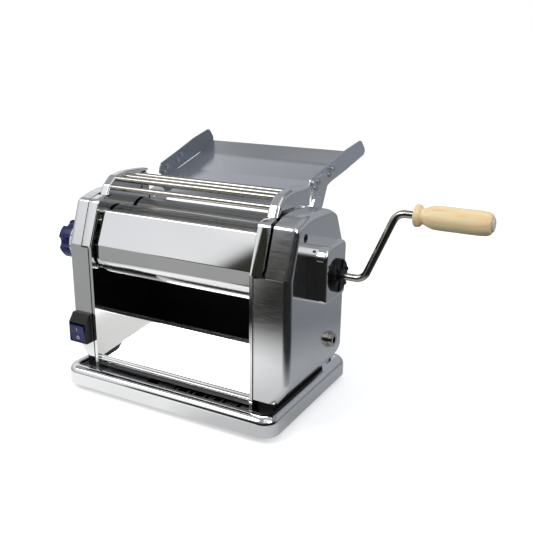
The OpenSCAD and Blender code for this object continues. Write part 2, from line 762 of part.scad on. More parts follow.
// ---------- thickness setting ----------
module bearing_block() difference() {
    y = front_roller_y;
    union() {
        across(roller_len / 2 + 0.5, arm_out) translate([y - block_half, roller_z - block_half])
            square(2 * block_half);
        // outer arm with the nose that follows the cam
        across(arm_in, arm_out) {
            translate([nose_y, knob_z - 4]) square([9, roller_z - knob_z]);
            translate([nose_y, knob_z]) circle(nose_r);
        }
        // inner arm that carries the scraper
        across(roller_len / 2 + 0.5, plate_in - moving_gap)
            translate([y - 9, roller_z - scraper_drop]) square([8, scraper_drop - 11]);
    }
    bar(roller_len / 2, arm_out + 1, journal_r + running, y, roller_z);
}

module bearing_block_right() color([0.5, 0.5, 0.52]) on_bench() bearing_block();

module bearing_block_left() color([0.5, 0.5, 0.52]) on_bench() mirror([1, 0, 0]) bearing_block();

module front_scraper() color("gray") on_bench() scraper(front_roller_y, -8, roller_len / 2 + 0.5);

module cam_shaft() color("gray") on_bench()
    bar(-left_out - knob_reach + 8, arm_out, cam_shaft_d / 2, knob_y, knob_z);

// The radius falls steadily over the knob's turn, then comes back up
function cam_radius(a) = let (low = (gap_max - roller_gap) / cam_step, high = low - knob_turn)
    a <= low && a >= high ? cam_rest - cam_step * a
    : let (b = a > low ? a : a + 360) cam_r + (gap_max - gap_min) * (b - low) / (360 - knob_turn);

module snail_cams() color("darkgray") on_bench() both_sides() difference() {
    across(arm_in, arm_out) translate([knob_y, knob_z])
        polygon([for (a = [-179:6:180]) cam_radius(a) * [cos(a), sin(a)]]);
    bar(arm_in - 1, arm_out + 1, cam_shaft_d / 2 + running, knob_y, knob_z);
}

module knob_skirt() color("whitesmoke") on_bench() difference() {
    r = skirt_d / 2;
    turned([[-left_out - 9, 0], [-left_out - 9, r - 7], [-left_out - 7.5, r - 4], [-left_out - 2.3, r - 0.6],
            [-left_out - 1.3, r], [-left_out - moving_gap, r], [-left_out - moving_gap, 0]],
           knob_y, knob_z);
    bar(-left_out - 10, -left_out + 1, cam_shaft_d / 2 + running, knob_y, knob_z);
}

module knob_grip() color([0.05, 0.1, 0.38]) on_bench() {
    r = knob_d / 2;
    x0 = -left_out - knob_reach;
    difference() {
        turned([[x0, 0], [x0, r - 3.5], [x0 + 1, r - 1.2], [x0 + 3.5, r], [-left_out - 12, r],
                [-left_out - 9, r - 1.5], [-left_out - 9, 0]], knob_y, knob_z);
        for (i = [0:knob_lobes - 1]) translate([0, knob_y, knob_z]) rotate([i * 360 / knob_lobes, 0, 0])
            bar(x0 - 1, -left_out - 10, valley_r, -r - 1.5, 0);
        bar(x0 + 8 - 0.1, -left_out, cam_shaft_d / 2 + running, knob_y, knob_z);
    }
}

module index_pin() color([0.05, 0.1, 0.38]) on_bench()
    translate([0, knob_y, knob_z]) rotate([105, 0, 0])
        turned([[-left_out - 6, 0], [-left_out - 6, 2.2], [-left_out - 5, 3.2], [-left_out, 3.2],
                [-left_out, 0]], skirt_d / 2 + 5, 0);

// ---------- guard ----------
module guard_bracket() difference() {
    x0 = plate_in + moving_gap;
    top = rounded_line(guard_top, 6);
    union() {
        sheet(backwards(top), guard_t, x0, strip_out);
        across(strip_out - guard_t, strip_out)
            polygon(concat(top, [[guard_pivot[0] + 8, guard_foot], [76, guard_foot + 2], [40, guard_foot]]));
        // inner wall that holds the rods, short of the ear
        across(x0, x0 + guard_t) intersection() {
            polygon(concat(top, [[guard_pivot[0] + 8, guard_foot], [40, guard_foot]]));
            translate([30, top_z - 0.5]) square([guard_pivot[0] - ear_r - 32, 40]);
        }
        bar(plate_out + moving_gap, strip_out, 5, guard_pivot[0], guard_pivot[1]);
    }
    bar(plate_in - 1, strip_out - 1, guard_pin_r, guard_pivot[0], guard_pivot[1]);
    for (p = GUARD_RODS) bar(x0 - 1, x0 + guard_t, guard_rod_d / 2, p[0], p[1]);
}

module guard_bracket_right() color("silver") on_bench() guard_bracket();

module guard_bracket_left() color("silver") on_bench() mirror([1, 0, 0]) guard_bracket();

module guard_rods() color("silver") on_bench() {
    half = plate_in + moving_gap + guard_t;
    for (p = GUARD_RODS) bar(-half, half, guard_rod_d / 2, p[0], p[1]);
}

module guard_pins() color("gray") on_bench() both_sides()
    bar(plate_in - 2, strip_out - 1, guard_pin_r, guard_pivot[0], guard_pivot[1]);

// ---------- hopper ----------
// Side views in the plane of the right wing, from x0 to x1 measured square to that plane
module in_wing_plane(x0, x1) {
    translate([wing_front, wing_y, 0]) rotate([0, 0, -flare]) translate([0, -wing_y, 0])
        across(x0, x1) children();
}

module hopper_wing() difference() {
    in_wing_plane(-wing_t, 0) polygon(rounded(wing_profile));
    for (p = concat(LUG_SCREWS, WING_RIVETS)) in_wing_plane(-wing_t - 1, 1) translate(p) circle(2.1);
}

module hopper_wing_right() color([0.62, 0.65, 0.7]) on_bench() hopper_wing();

module hopper_wing_left() color([0.62, 0.65, 0.7]) on_bench() mirror([1, 0, 0]) hopper_wing();

module hopper_floor() color([0.68, 0.7, 0.74]) on_bench() difference() {
    sheet(backwards(rounded_line(floor_path, 8)), sheet_t, -140, 140);
    both_sides() in_wing_plane(-wing_t, 60) translate([wing_y - 20, 200]) square([hopper_back, 100]);
}

module lug_pair() {
    difference() {
        union() {
            in_wing_plane(0, lug_t) polygon(rounded(lug_profile));
            across(plate_out, plate_out + lug_t) polygon(rounded(lug_foot));
        }
        for (p = concat(LUG_SCREWS, WING_RIVETS)) in_wing_plane(-1, lug_t + 3) translate(p) circle(2.1);
    }
}

module hopper_lugs() color([0.6, 0.62, 0.66]) on_bench() both_sides() lug_pair();

module hopper_screws() color("gray") on_bench() both_sides() {
    for (p = concat(LUG_SCREWS, WING_RIVETS)) {
        in_wing_plane(-wing_t - 1.6, lug_t + 1.6) translate(p) circle(2);
        in_wing_plane(-wing_t - 1.6, -wing_t) translate(p) circle(3.2);
        in_wing_plane(lug_t, lug_t + 1.6) translate(p) circle(3.2);
    }
}

// ---------- crank ----------
module box_slice(x, inset) {
    y0 = box_front + inset;
    y1 = box_front + box_d - inset;
    z0 = box_foot + inset;
    z1 = box_foot + box_h - inset;
    across(x - 0.01, x) polygon(rounded([[y0, z0, 5], [y0, z1, 16 - inset], [y1, z1, 7], [y1, z0, 5]], 6));
}

module gearbox_housing() color("silver") on_bench() difference() {
    union() {
        difference() {
            hull() {
                box_slice(right_out + 0.01, 0);
                box_slice(box_out - 4, 0);
                box_slice(box_out - 1.2, 1.2);
                box_slice(box_out, 4);
            }
            across(right_out - 1, box_out - 3) translate([box_front + 3, box_foot + 3])
                square([box_d - 6, box_h - 18]);
        }
        bar(crank_gear_in + gear_w + 2, box_out, crank_shaft_d / 2 + 4, crank_y, crank_z);
    }
    bar(crank_gear_in, box_out + 1, crank_shaft_d / 2 + running, crank_y, crank_z);
}

module crank_shaft() color("gray") on_bench()
    bar(crank_gear_in - 1, disc_out - 1.2, crank_shaft_d / 2, crank_y, crank_z);

module coupling_disc() color([0.07, 0.07, 0.07]) on_bench() difference() {
    r = disc_d / 2;
    union() {
        turned([[box_out + moving_gap, 0], [box_out + moving_gap, r], [disc_out - 0.8, r],
                [disc_out, r - 0.8], [disc_out, 9], [disc_out + 3.5, 8], [disc_out + 3.5, 0]],
               crank_y, crank_z);
        for (i = [0:5]) translate([0, crank_y, crank_z]) rotate([i * 60 + 15, 0, 0])
            translate([disc_out - 0.5, 9, -1.6]) cube([2, r - 10.5, 3.2]);
    }
    bar(box_out, disc_out - 1.2, crank_shaft_d / 2 + running, crank_y, crank_z);
    bar(disc_out - 1.2, disc_out + 5, crank_rod_d / 2 + running, crank_y, crank_z);
}

// A round rod through points in a plane, with its corners bent to radius bend.
// Each bend is a hair thicker than the straights, which reach a little way into it.
module bent_rod(pts, bend, r) {
    m = len(pts);
    lap = 0.6;
    trim = [for (i = [0:m - 1]) i == 0 || i == m - 1 ? 0 : bend * tan(turn_at(pts, i) / 2) - lap];
    for (i = [0:m - 2]) {
        d = unit(pts[i + 1] - pts[i]);
        a = pts[i] + d * trim[i];
        run = norm(pts[i + 1] - pts[i]) - trim[i] - trim[i + 1];
        translate([a[0], a[1], 0]) rotate([0, 0, atan2(d[1], d[0])]) rotate([0, 90, 0])
            cylinder(h = run, r = r);
    }
    for (i = [1:m - 2]) {
        d = unit(pts[i] - pts[i - 1]);
        e = unit(pts[i + 1] - pts[i]);
        left = d[0] * e[1] - d[1] * e[0] > 0 ? 1 : -1;
        side = left * [-d[1], d[0]];
        c = pts[i] - d * (trim[i] + lap) + side * bend;
        a0 = atan2(-side[1], -side[0]);
        translate([c[0], c[1], 0]) rotate([0, 0, left > 0 ? a0 : a0 - turn_at(pts, i)])
            rotate_extrude(angle = turn_at(pts, i)) translate([bend, 0]) circle(r + 0.05);
    }
}

function turn_at(pts, i) = acos(unit(pts[i] - pts[i - 1]) * unit(pts[i + 1] - pts[i]));

module crank_rod() color("silver") on_bench() {
    translate([0, crank_y, 0]) rotate([90, 0, 0])
        bent_rod([[disc_out - 1.2, crank_z], [bend_x, crank_z], [arm_x, crank_top], [rod_end, crank_top]],
                 crank_bend, crank_rod_d / 2);
    // collar that keeps the grip on
    bar(grip_cup + moving_gap, rod_end - 0.5, 6, crank_y, crank_top);
}

module crank_grip() color([0.85, 0.7, 0.48]) on_bench() difference() {
    r = grip_d / 2;
    turned([[grip_x, 0], [grip_x, 9], [grip_x + 0.8, 11], [grip_x + 2.5, 12], [grip_x + 6, 11.6],
            [grip_x + 7.6, 10], [grip_x + 8.6, 8.6], [grip_x + 11, 8.6], [grip_x + 14, 10.2],
            [grip_x + 20, r - 0.4], [grip_x + 28, r], [grip_end - 14, r], [grip_end - 5, r - 0.6],
            [grip_end - 1.5, r - 2], [grip_end, r - 4], [grip_end, 0]], crank_y, crank_top);
    bar(grip_x - 1, grip_cup + 1, crank_rod_d / 2 + 0.08, crank_y, crank_top);
    bar(grip_cup, grip_end + 1, 6.5, crank_y, crank_top);
}

module grip_cap() color("lightgray") on_bench()
    turned([[grip_end - 4, 0], [grip_end - 4, 6.4], [grip_end + 0.4, 6.4], [grip_end + 0.4, 7.6],
            [grip_end + 1.4, 7], [grip_end + 2, 5], [grip_end + 2, 0]], crank_y, crank_top);

// ---------- motor drive ----------
motor_left = -plate_in + 14;
cradle_w = motor_d - 4;

module motor() color([0.25, 0.25, 0.27]) on_bench() {
    bar(motor_left, motor_left + motor_len, motor_d / 2, motor_y, motor_z);
    bar(motor_left - 6, motor_left, motor_d / 4, motor_y, motor_z);
    for (i = [0:7]) bar(motor_left + 10 + i * 12, motor_left + 14 + i * 12, motor_d / 2 + 1, motor_y, motor_z);
}

module motor_cradle() color("dimgray") on_bench() difference() {
    for (x = [motor_left + 4, motor_left + motor_len - 9])
        translate([x, motor_y - cradle_w / 2, 0]) cube([5, cradle_w, motor_z - 8]);
    bar(motor_left - 1, motor_left + motor_len + 1, motor_d / 2, motor_y, motor_z);
}

module pulley(x, r, y, z, bore) difference() {
    union() {
        bar(x - 1, x + belt_w + 1, r - belt_t, y, z);
        bar(x - 3, x - moving_gap, r + 1, y, z);
        bar(x + belt_w + moving_gap, x + belt_w + 2, r + 1, y, z);
    }
    bar(x - 4, x + belt_w + 3, bore, y, z);
}

module roller_pulley() color("dimgray") on_bench()
    pulley(-belt_x - belt_w, pulley_d / 2, rear_roller_y, roller_z, gear_seat_r + running);

module motor_shaft() color("gray") on_bench() {
    bar(-belt_x - belt_w - 4, motor_left - 6.3, motor_shaft_r, motor_y, motor_z);
    pulley(-belt_x - belt_w, motor_pulley_d / 2, motor_y, motor_z, motor_shaft_r - 0.5);
}

function arc(c, r, a0, a1, n) =
    [for (i = [0:n]) c + r * [cos(a0 + (a1 - a0) * i / n), sin(a0 + (a1 - a0) * i / n)]];

// Outline of a loop round two circles
function loop_outline(c1, r1, c2, r2) =
    let (d = c2 - c1, lie = atan2(d[1], d[0]), lean = acos((r1 - r2) / norm(d)))
    concat(arc(c1, r1, lie + lean, lie + 360 - lean, 24), arc(c2, r2, lie - lean, lie + lean, 16));

module drive_belt() color([0.08, 0.08, 0.08]) on_bench() {
    top = [rear_roller_y, roller_z];
    low = [motor_y, motor_z];
    in = moving_gap - belt_t;
    across(-belt_x - belt_w, -belt_x) difference() {
        polygon(loop_outline(top, pulley_d / 2, low, motor_pulley_d / 2));
        polygon(loop_outline(top, pulley_d / 2 + in, low, motor_pulley_d / 2 + in));
    }
}

// ---------- switch and mains lead ----------
switch_x = -casing_in - switch_w / 2 + 0.6;
switch_foot = casing_foot + 20.3;
rocker_h = 24;
rocker_z = switch_foot + 1.8 + rocker_h / 2;
rocker_pivot = -6;
rocker_pin_r = 1.5;

module switch_housing() color([0.05, 0.05, 0.05]) on_bench() difference() {
    x0 = switch_x - switch_w / 2;
    x1 = switch_x + switch_w / 2;
    foot = switch_foot;
    across(x0, x1) polygon(rounded([[0, foot, 0], [0, foot + switch_h, 0], [-4, foot + switch_h, 2],
        [-switch_reach, foot + switch_h - 11, 2], [-switch_reach, foot, 2]]));
    across(x0 + 1.6, x1 - 1.6) translate([-switch_reach - 1, rocker_z - rocker_h / 2 - 0.9])
        square([switch_reach - 1.5, rocker_h + 1.8]);
    bar(x0 + 0.4, x1 - 0.4, rocker_pin_r + running, rocker_pivot, rocker_z);
}

module switch_rocker() color([0.1, 0.18, 0.5]) on_bench() {
    h = rocker_h / 2 - 0.4;
    x0 = switch_x - switch_w / 2 + 2;
    x1 = switch_x + switch_w / 2 - 2;
    translate([0, rocker_pivot, rocker_z]) rotate([rocker_turn / 2, 0, 0])
        across(x0, x1) polygon(rounded([[2.5, 0, 0], [0, h - 1, 1], [-6.8, h, 1], [-6.2, 0, 20], [-6.8, -h, 1],
            [0, -h + 1, 1]], 4));
    bar(x0 - 1.2, x1 + 1.2, rocker_pin_r, rocker_pivot, rocker_z);
}

gland_y = 108;
gland_z = 63.6;
gland_r = 9.5;
lead_r = 4;

module cable_gland() color("silver") on_bench() difference() {
    turned([[right_out - 8, 0], [right_out - 8, gland_r - 2.2], [right_out, gland_r - 2.2],
            [right_out, gland_r + 1], [right_out + 1.6, gland_r + 1], [right_out + 1.6, gland_r - 1],
            [right_out + 6, gland_r - 1], [right_out + 7, gland_r - 2], [right_out + 7, 0]],
           gland_y, gland_z);
    bar(right_out - 9, right_out + 8, lead_r, gland_y, gland_z);
}

module gland_nut() color("gray") on_bench() difference() {
    translate([right_out - casing_t - 3.5, gland_y, gland_z]) rotate([0, 90, 0])
        cylinder(h = 3.5, r = gland_r + 1, $fn = 6);
    bar(right_out - 12, right_out + 1, gland_r - 2.2 + running, gland_y, gland_z);
}

base_tray();
bottom_plate();
rubber_feet();
foot_screws();
left_side_plate();
right_side_plate();
left_casing();
right_casing();
casing_plinths();
casing_clips();
casing_screws();
tie_rods();
tie_screws();
front_cover();
delivery_chute();
back_panel();
rear_cover();
feed_apron();
rear_scraper();
roller_bushes();
rear_roller();
rear_roller_gear();
crank_gear();
roller_pulley();
bearing_block_left();
bearing_block_right();
front_scraper();
front_roller();
front_roller_gear();
cam_shaft();
snail_cams();
knob_skirt();
knob_grip();
index_pin();
guard_bracket_left();
guard_bracket_right();
guard_rods();
guard_pins();
hopper_lugs();
hopper_wing_left();
hopper_wing_right();
hopper_floor();
hopper_screws();
gearbox_housing();
crank_shaft();
crank_pinion();
coupling_disc();
crank_rod();
crank_grip();
grip_cap();
motor();
motor_cradle();
motor_shaft();
drive_belt();
switch_housing();
switch_rocker();
cable_gland();
gland_nut();
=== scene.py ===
"""Dresses the bench-top pasta roller: chromed shells, satin hopper, steel rods, beech grip.

Everything is in metres, in the model's own frame: X along the rollers towards the crank,
Y from the delivery side to the hopper, Z up from the work surface.
"""
import json
import math
import bpy
import bmesh
from mathutils import Matrix, Vector


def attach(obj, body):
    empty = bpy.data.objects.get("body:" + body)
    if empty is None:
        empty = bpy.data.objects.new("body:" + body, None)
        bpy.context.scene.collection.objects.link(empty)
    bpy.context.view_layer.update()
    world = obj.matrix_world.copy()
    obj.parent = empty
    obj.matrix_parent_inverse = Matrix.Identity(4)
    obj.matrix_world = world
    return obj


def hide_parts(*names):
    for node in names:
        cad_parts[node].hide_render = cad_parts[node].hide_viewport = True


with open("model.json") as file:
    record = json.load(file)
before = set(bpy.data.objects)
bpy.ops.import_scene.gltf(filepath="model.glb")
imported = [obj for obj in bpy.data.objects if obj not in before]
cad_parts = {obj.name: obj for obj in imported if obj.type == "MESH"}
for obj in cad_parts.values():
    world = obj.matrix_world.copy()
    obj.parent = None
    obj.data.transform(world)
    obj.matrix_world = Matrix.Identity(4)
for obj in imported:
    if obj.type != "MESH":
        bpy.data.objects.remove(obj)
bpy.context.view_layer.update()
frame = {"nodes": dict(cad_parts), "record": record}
nodes = frame["nodes"]

# The machine's own datum: mid-plane of the rollers, front of the casings, floor of the tray
MID_X = -0.0855
FRONT_Y = -0.1396
FLOOR_Z = 0.023


def place(x, y, z):
    """A point given in millimetres from the machine's datum, in metres in the model's frame."""
    return Vector((MID_X + x / 1000, FRONT_Y + y / 1000, FLOOR_Z + z / 1000))


# ---------- camera ----------
CAMERA_PLACE = (0.4065, -0.7862, 0.4316)
LENS = 48.895
SENSOR = 36


def add_camera():
    """The main view, from the front right and a little above."""
    data = bpy.data.cameras.new("camera")
    data.sensor_width = SENSOR
    data.lens = LENS
    data.clip_start = 0.01
    camera = bpy.data.objects.new("camera", data)
    bpy.context.scene.collection.objects.link(camera)
    right = Vector((0.8738, 0.4861, 0.0083))
    up = Vector((-0.1504, 0.2540, 0.9555))
    back = Vector((0.4624, -0.8362, 0.2950))
    turn = Matrix((right, up, back)).transposed()
    camera.matrix_world = Matrix.Translation(CAMERA_PLACE) @ turn.to_4x4()
    bpy.context.scene.camera = camera


add_camera()
bpy.context.scene.view_settings.view_transform = "Standard"


# ---------- node helpers ----------
def new_group(name, inputs, outputs):
    """An empty shader node group with its sockets: (name, kind, default) in, (name, kind) out."""
    group = bpy.data.node_groups.new(name, "ShaderNodeTree")
    for label, kind, value in inputs:
        socket = group.interface.new_socket(label, in_out="INPUT", socket_type="NodeSocket" + kind)
        socket.default_value = value
    for label, kind in outputs:
        group.interface.new_socket(label, in_out="OUTPUT", socket_type="NodeSocket" + kind)
    start = group.nodes.new("NodeGroupInput")
    end = group.nodes.new("NodeGroupOutput")
    return group, start, end


def add_node(tree, kind, **settings):
    """A new shader node with its settings."""
    node = tree.nodes.new("ShaderNode" + kind)
    for key, value in settings.items():
        setattr(node, key, value)
    return node


def stretched_noise(tree, vector, scale, stretch, detail):
    """Noise drawn out by stretch along each axis."""
    mapping = add_node(tree, "Mapping")
    mapping.inputs["Scale"].default_value = stretch
    noise = add_node(tree, "TexNoise")
    noise.inputs["Scale"].default_value = scale
    noise.inputs["Detail"].default_value = detail
    tree.links.new(vector, mapping.inputs["Vector"])
    tree.links.new(mapping.outputs["Vector"], noise.inputs["Vector"])
    return noise.outputs["Fac"]


def to_range(tree, value, low, high, new_low, new_high):
    """A value moved from one range to another, and held inside it."""
    node = add_node(tree, "MapRange")
    node.inputs["From Min"].default_value = low
    node.inputs["From Max"].default_value = high
    node.inputs["To Min"].default_value = new_low
    node.inputs["To Max"].default_value = new_high
    tree.links.new(value, node.inputs["Value"])
    return node.outputs["Result"]


def math_node(tree, operation, a, b):
    """One sum of two values, each a number or another node's output."""
    node = add_node(tree, "Math", operation=operation)
    for socket, value in zip(node.inputs, (a, b)):
        if isinstance(value, (int, float)):
            socket.default_value = value
        else:
            tree.links.new(value, socket)
    return node.outputs["Value"]


def mix_colors(tree, factor, first, second):
    """One colour where the factor is 0 and the other where it is 1; the second may be a plain colour."""
    node = add_node(tree, "Mix", data_type="RGBA")
    tree.links.new(factor, node.inputs["Factor"])
    tree.links.new(first, node.inputs["A"])
    if isinstance(second, tuple):
        node.inputs["B"].default_value = (*second, 1)
    else:
        tree.links.new(second, node.inputs["B"])
    return node.outputs["Result"]


# ---------- shared effects ----------
def shade_color(group, start, end, change):
    """Brightens and darkens the group's colour by a change on either side of nought."""
    bright = add_node(group, "HueSaturation")
    group.links.new(math_node(group, "ADD", change, 1.0), bright.inputs["Value"])
    group.links.new(start.outputs["Color"], bright.inputs["Color"])
    group.links.new(bright.outputs["Color"], end.inputs["Color"])


def make_polish():
    """Faint wiping marks and smudges for polished and brushed metal."""
    group, start, end = new_group(
        "metal_polish",
        [("Vector", "Vector", (0, 0, 0)), ("Roughness", "Float", 0.08), ("Smudge", "Float", 0.05),
         ("Brush", "Float", 0.1), ("Along", "Vector", (1, 40, 40)), ("Color", "Color", (0.8, 0.8, 0.8, 1)),
         ("Tint", "Float", 0.04)],
        [("Color", "Color"), ("Roughness", "Float")])
    link = group.links.new
    blotch = add_node(group, "TexNoise")
    blotch.inputs["Scale"].default_value = 14
    blotch.inputs["Detail"].default_value = 4
    link(start.outputs["Vector"], blotch.inputs["Vector"])
    drawn = add_node(group, "VectorMath", operation="MULTIPLY")
    link(start.outputs["Vector"], drawn.inputs[0])
    link(start.outputs["Along"], drawn.inputs[1])
    lines = add_node(group, "TexNoise")
    lines.inputs["Scale"].default_value = 60
    lines.inputs["Detail"].default_value = 2
    link(drawn.outputs["Vector"], lines.inputs["Vector"])
    smudge = math_node(group, "MULTIPLY", to_range(group, blotch.outputs["Fac"], 0.45, 0.75, 0, 1),
                       start.outputs["Smudge"])
    brush = math_node(group, "MULTIPLY", to_range(group, lines.outputs["Fac"], 0.3, 0.7, -0.5, 0.5),
                      start.outputs["Brush"])
    rough = math_node(group, "ADD", math_node(group, "ADD", start.outputs["Roughness"], smudge), brush)
    link(rough, end.inputs["Roughness"])
    shade = math_node(group, "MULTIPLY", to_range(group, blotch.outputs["Fac"], 0.3, 0.7, -1, 1),
                      start.outputs["Tint"])
    shade_color(group, start, end, shade)
    return group


def make_grain():
    """Fine moulded grain: a value for height and a slight change of colour."""
    group, start, end = new_group(
        "moulded_grain",
        [("Vector", "Vector", (0, 0, 0)), ("Scale", "Float", 900), ("Color", "Color", (0.02, 0.02, 0.02, 1)),
         ("Roughness", "Float", 0.4), ("Variation", "Float", 0.1)],
        [("Color", "Color"), ("Roughness", "Float"), ("Height", "Float")])
    link = group.links.new
    fine = add_node(group, "TexNoise")
    fine.inputs["Detail"].default_value = 2
    link(start.outputs["Vector"], fine.inputs["Vector"])
    link(start.outputs["Scale"], fine.inputs["Scale"])
    broad = add_node(group, "TexNoise")
    broad.inputs["Scale"].default_value = 25
    link(start.outputs["Vector"], broad.inputs["Vector"])
    change = math_node(group, "MULTIPLY", to_range(group, broad.outputs["Fac"], 0.3, 0.7, -1, 1),
                       start.outputs["Variation"])
    shade_color(group, start, end, change)
    link(math_node(group, "ADD", start.outputs["Roughness"], math_node(group, "MULTIPLY", change, 0.4)),
         end.inputs["Roughness"])
    link(fine.outputs["Fac"], end.inputs["Height"])
    return group


POLISH = make_polish()
GRAIN = make_grain()


# ---------- materials ----------
def new_material(name):
    """A material, its tree, its shader and the place on the piece in the model's frame."""
    material = bpy.data.materials.new(name)
    material.use_nodes = True
    tree = material.node_tree
    shader = tree.nodes["Principled BSDF"]
    place_in = add_node(tree, "TexCoord")
    return material, tree, shader, place_in.outputs["Object"]


def add_bump(tree, shader, height, distance):
    """Raises and sinks the surface by a height, at most by a distance in metres."""
    bump = add_node(tree, "Bump")
    bump.inputs["Strength"].default_value = 1.0
    bump.inputs["Distance"].default_value = distance
    tree.links.new(height, bump.inputs["Height"])
    tree.links.new(bump.outputs["Normal"], shader.inputs["Normal"])


def use_effect(tree, shader, where, group, values):
    """Places a shared effect in a material with its own values; it colours and roughens the shader."""
    effect = add_node(tree, "Group", node_tree=group)
    tree.links.new(where, effect.inputs["Vector"])
    for label, value in values.items():
        effect.inputs[label].default_value = value
    tree.links.new(effect.outputs["Color"], shader.inputs["Base Color"])
    tree.links.new(effect.outputs["Roughness"], shader.inputs["Roughness"])
    return effect


def metal(name, color, roughness, smudge=0.04, brush=0.0, along=(1, 1, 1), tint=0.03, share=1.0):
    """Polished or brushed metal; a share under 1 mixes in the soft light of a blasted surface."""
    material, tree, shader, where = new_material(name)
    shader.inputs["Metallic"].default_value = share
    use_effect(tree, shader, where, POLISH,
               {"Color": (*color, 1), "Roughness": roughness, "Smudge": smudge, "Brush": brush,
                "Along": along, "Tint": tint})
    return material


def moulded(name, color, roughness, scale, variation=0.1, depth=0.00002, gloss=0.5):
    """Plastic, rubber or paint with a fine grain."""
    material, tree, shader, where = new_material(name)
    effect = use_effect(tree, shader, where, GRAIN,
                        {"Color": (*color, 1), "Roughness": roughness, "Scale": scale,
                         "Variation": variation})
    shader.inputs["Specular IOR Level"].default_value = gloss
    add_bump(tree, shader, effect.outputs["Height"], depth)
    return material


BEECH_DARK = (0.90, 0.63, 0.31)
BEECH_PALE = (1.0, 0.86, 0.55)
BEECH_FLECK = (0.66, 0.42, 0.19)


def beech(name):
    """Turned beech: straight grain along X with short darker flecks."""
    material, tree, shader, where = new_material(name)
    grain = stretched_noise(tree, where, 90, (0.12, 1.6, 1.6), 5)
    flecks = stretched_noise(tree, where, 260, (0.14, 1.5, 1.5), 1)
    ramp = add_node(tree, "ValToRGB")
    for element, position, color in zip(ramp.color_ramp.elements, (0.3, 0.68), (BEECH_DARK, BEECH_PALE)):
        element.position = position
        element.color = (*color, 1)
    tree.links.new(grain, ramp.inputs["Fac"])
    flecked = mix_colors(tree, to_range(tree, flecks, 0.62, 0.74, 0, 0.35), ramp.outputs["Color"],
                         BEECH_FLECK)
    tree.links.new(flecked, shader.inputs["Base Color"])
    tree.links.new(to_range(tree, grain, 0.2, 0.8, 0.42, 0.56), shader.inputs["Roughness"])
    add_bump(tree, shader, flecks, 0.00006)
    return material


FINISHES = {
    "chrome": metal("chrome", (0.80, 0.80, 0.80), 0.05, smudge=0.03, tint=0.02),
    "casing_chrome": metal("casing_chrome", (0.80, 0.80, 0.80), 0.15, smudge=0.03, brush=0.05,
                           along=(1, 1, 12), tint=0.02),
    "polished_plate": metal("polished_plate", (0.82, 0.82, 0.81), 0.07, smudge=0.02, tint=0.01),
    # Painted reflection: the rods' chrome darker and warmer than the other chrome, for the dark olive tones
    # between their highlights
    "rod_chrome": metal("rod_chrome", (0.50, 0.48, 0.43), 0.16, smudge=0.04),
    "roller_steel": metal("roller_steel", (0.30, 0.30, 0.29), 0.24, smudge=0.02, brush=0.03, along=(12, 1, 1),
                          tint=0.01),
    # Painted reflection: a darker, duller copy of the tray's chrome, for its floor in front of the chute
    "tray_recess_painted_reflection": metal("tray_recess_painted_reflection", (0.30, 0.30, 0.31), 0.30, smudge=0.03, brush=0.04, along=(14, 1, 1),
                        tint=0.02, share=0.45),
    "hopper_steel": metal("hopper_steel", (0.80, 0.80, 0.80), 0.17, smudge=0.02, brush=0.03,
                          along=(1, 14, 14), tint=0.01, share=0.95),
    "steel": metal("steel", (0.55, 0.55, 0.56), 0.30, smudge=0.08, brush=0.08, along=(2, 20, 20)),
    "gear_steel": metal("gear_steel", (0.42, 0.42, 0.42), 0.34, smudge=0.10, brush=0.10, along=(2, 12, 12)),
    "block_steel": metal("block_steel", (0.48, 0.48, 0.50), 0.36, smudge=0.08, brush=0.10, along=(1, 1, 16)),
    "bronze": metal("bronze", (0.62, 0.42, 0.18), 0.35, smudge=0.10, tint=0.10),
    "grey_steel": moulded("grey_steel", (0.16, 0.16, 0.17), 0.45, scale=500, variation=0.12),
    "motor_paint": moulded("motor_paint", (0.03, 0.03, 0.032), 0.45, scale=400),
    "rubber": moulded("rubber", (0.010, 0.010, 0.010), 0.62, scale=700, variation=0.2, depth=0.00004,
                      gloss=0.2),
    "black_plastic": moulded("black_plastic", (0.006, 0.006, 0.007), 0.42, scale=1100, gloss=0.25),
    "navy_plastic": moulded("navy_plastic", (0.003, 0.011, 0.085), 0.30, scale=1100, gloss=0.35),
    "dial_silver": moulded("dial_silver", (0.80, 0.81, 0.83), 0.28, scale=1400, variation=0.04),
    "light_plastic": moulded("light_plastic", (0.70, 0.70, 0.68), 0.34, scale=1400, variation=0.04),
    "beech": beech("beech"),
    # Painted shade and reflection: the hopper wings' steel in two blue-tinted tones, dark for the left wing,
    # light for the right
    "left_wing_painted_shade": metal("left_wing_painted_shade", (0.30, 0.33, 0.38), 0.26, smudge=0.03, brush=0.05,
                              along=(1, 14, 14), tint=0.02, share=0.85),
    "right_wing_painted_light": metal("right_wing_painted_light", (0.68, 0.72, 0.78), 0.26, smudge=0.03, brush=0.05, along=(1, 14, 14),
                        tint=0.02, share=0.85),
    "black_steel": metal("black_steel", (0.035, 0.035, 0.038), 0.35, smudge=0.05, tint=0.05),
    "matt_black": moulded("matt_black", (0.004, 0.004, 0.004), 0.55, scale=800, gloss=0.12),
}

# Edges that turn by more than this many degrees stay sharp
SMOOTH_ANGLE = 31
# Nodes whose own finish differs from the rest of their material slot; the hopper wings' tones are painted,
# the left wing darker than the right as painted shade, both tinted blue as painted reflection
OWN_FINISH = {"hopper_wing_left": "left_wing_painted_shade", "hopper_wing_right": "right_wing_painted_light",
              "casing_screws": "black_steel", "gland_nut": "rubber", "back_panel": "matt_black"}


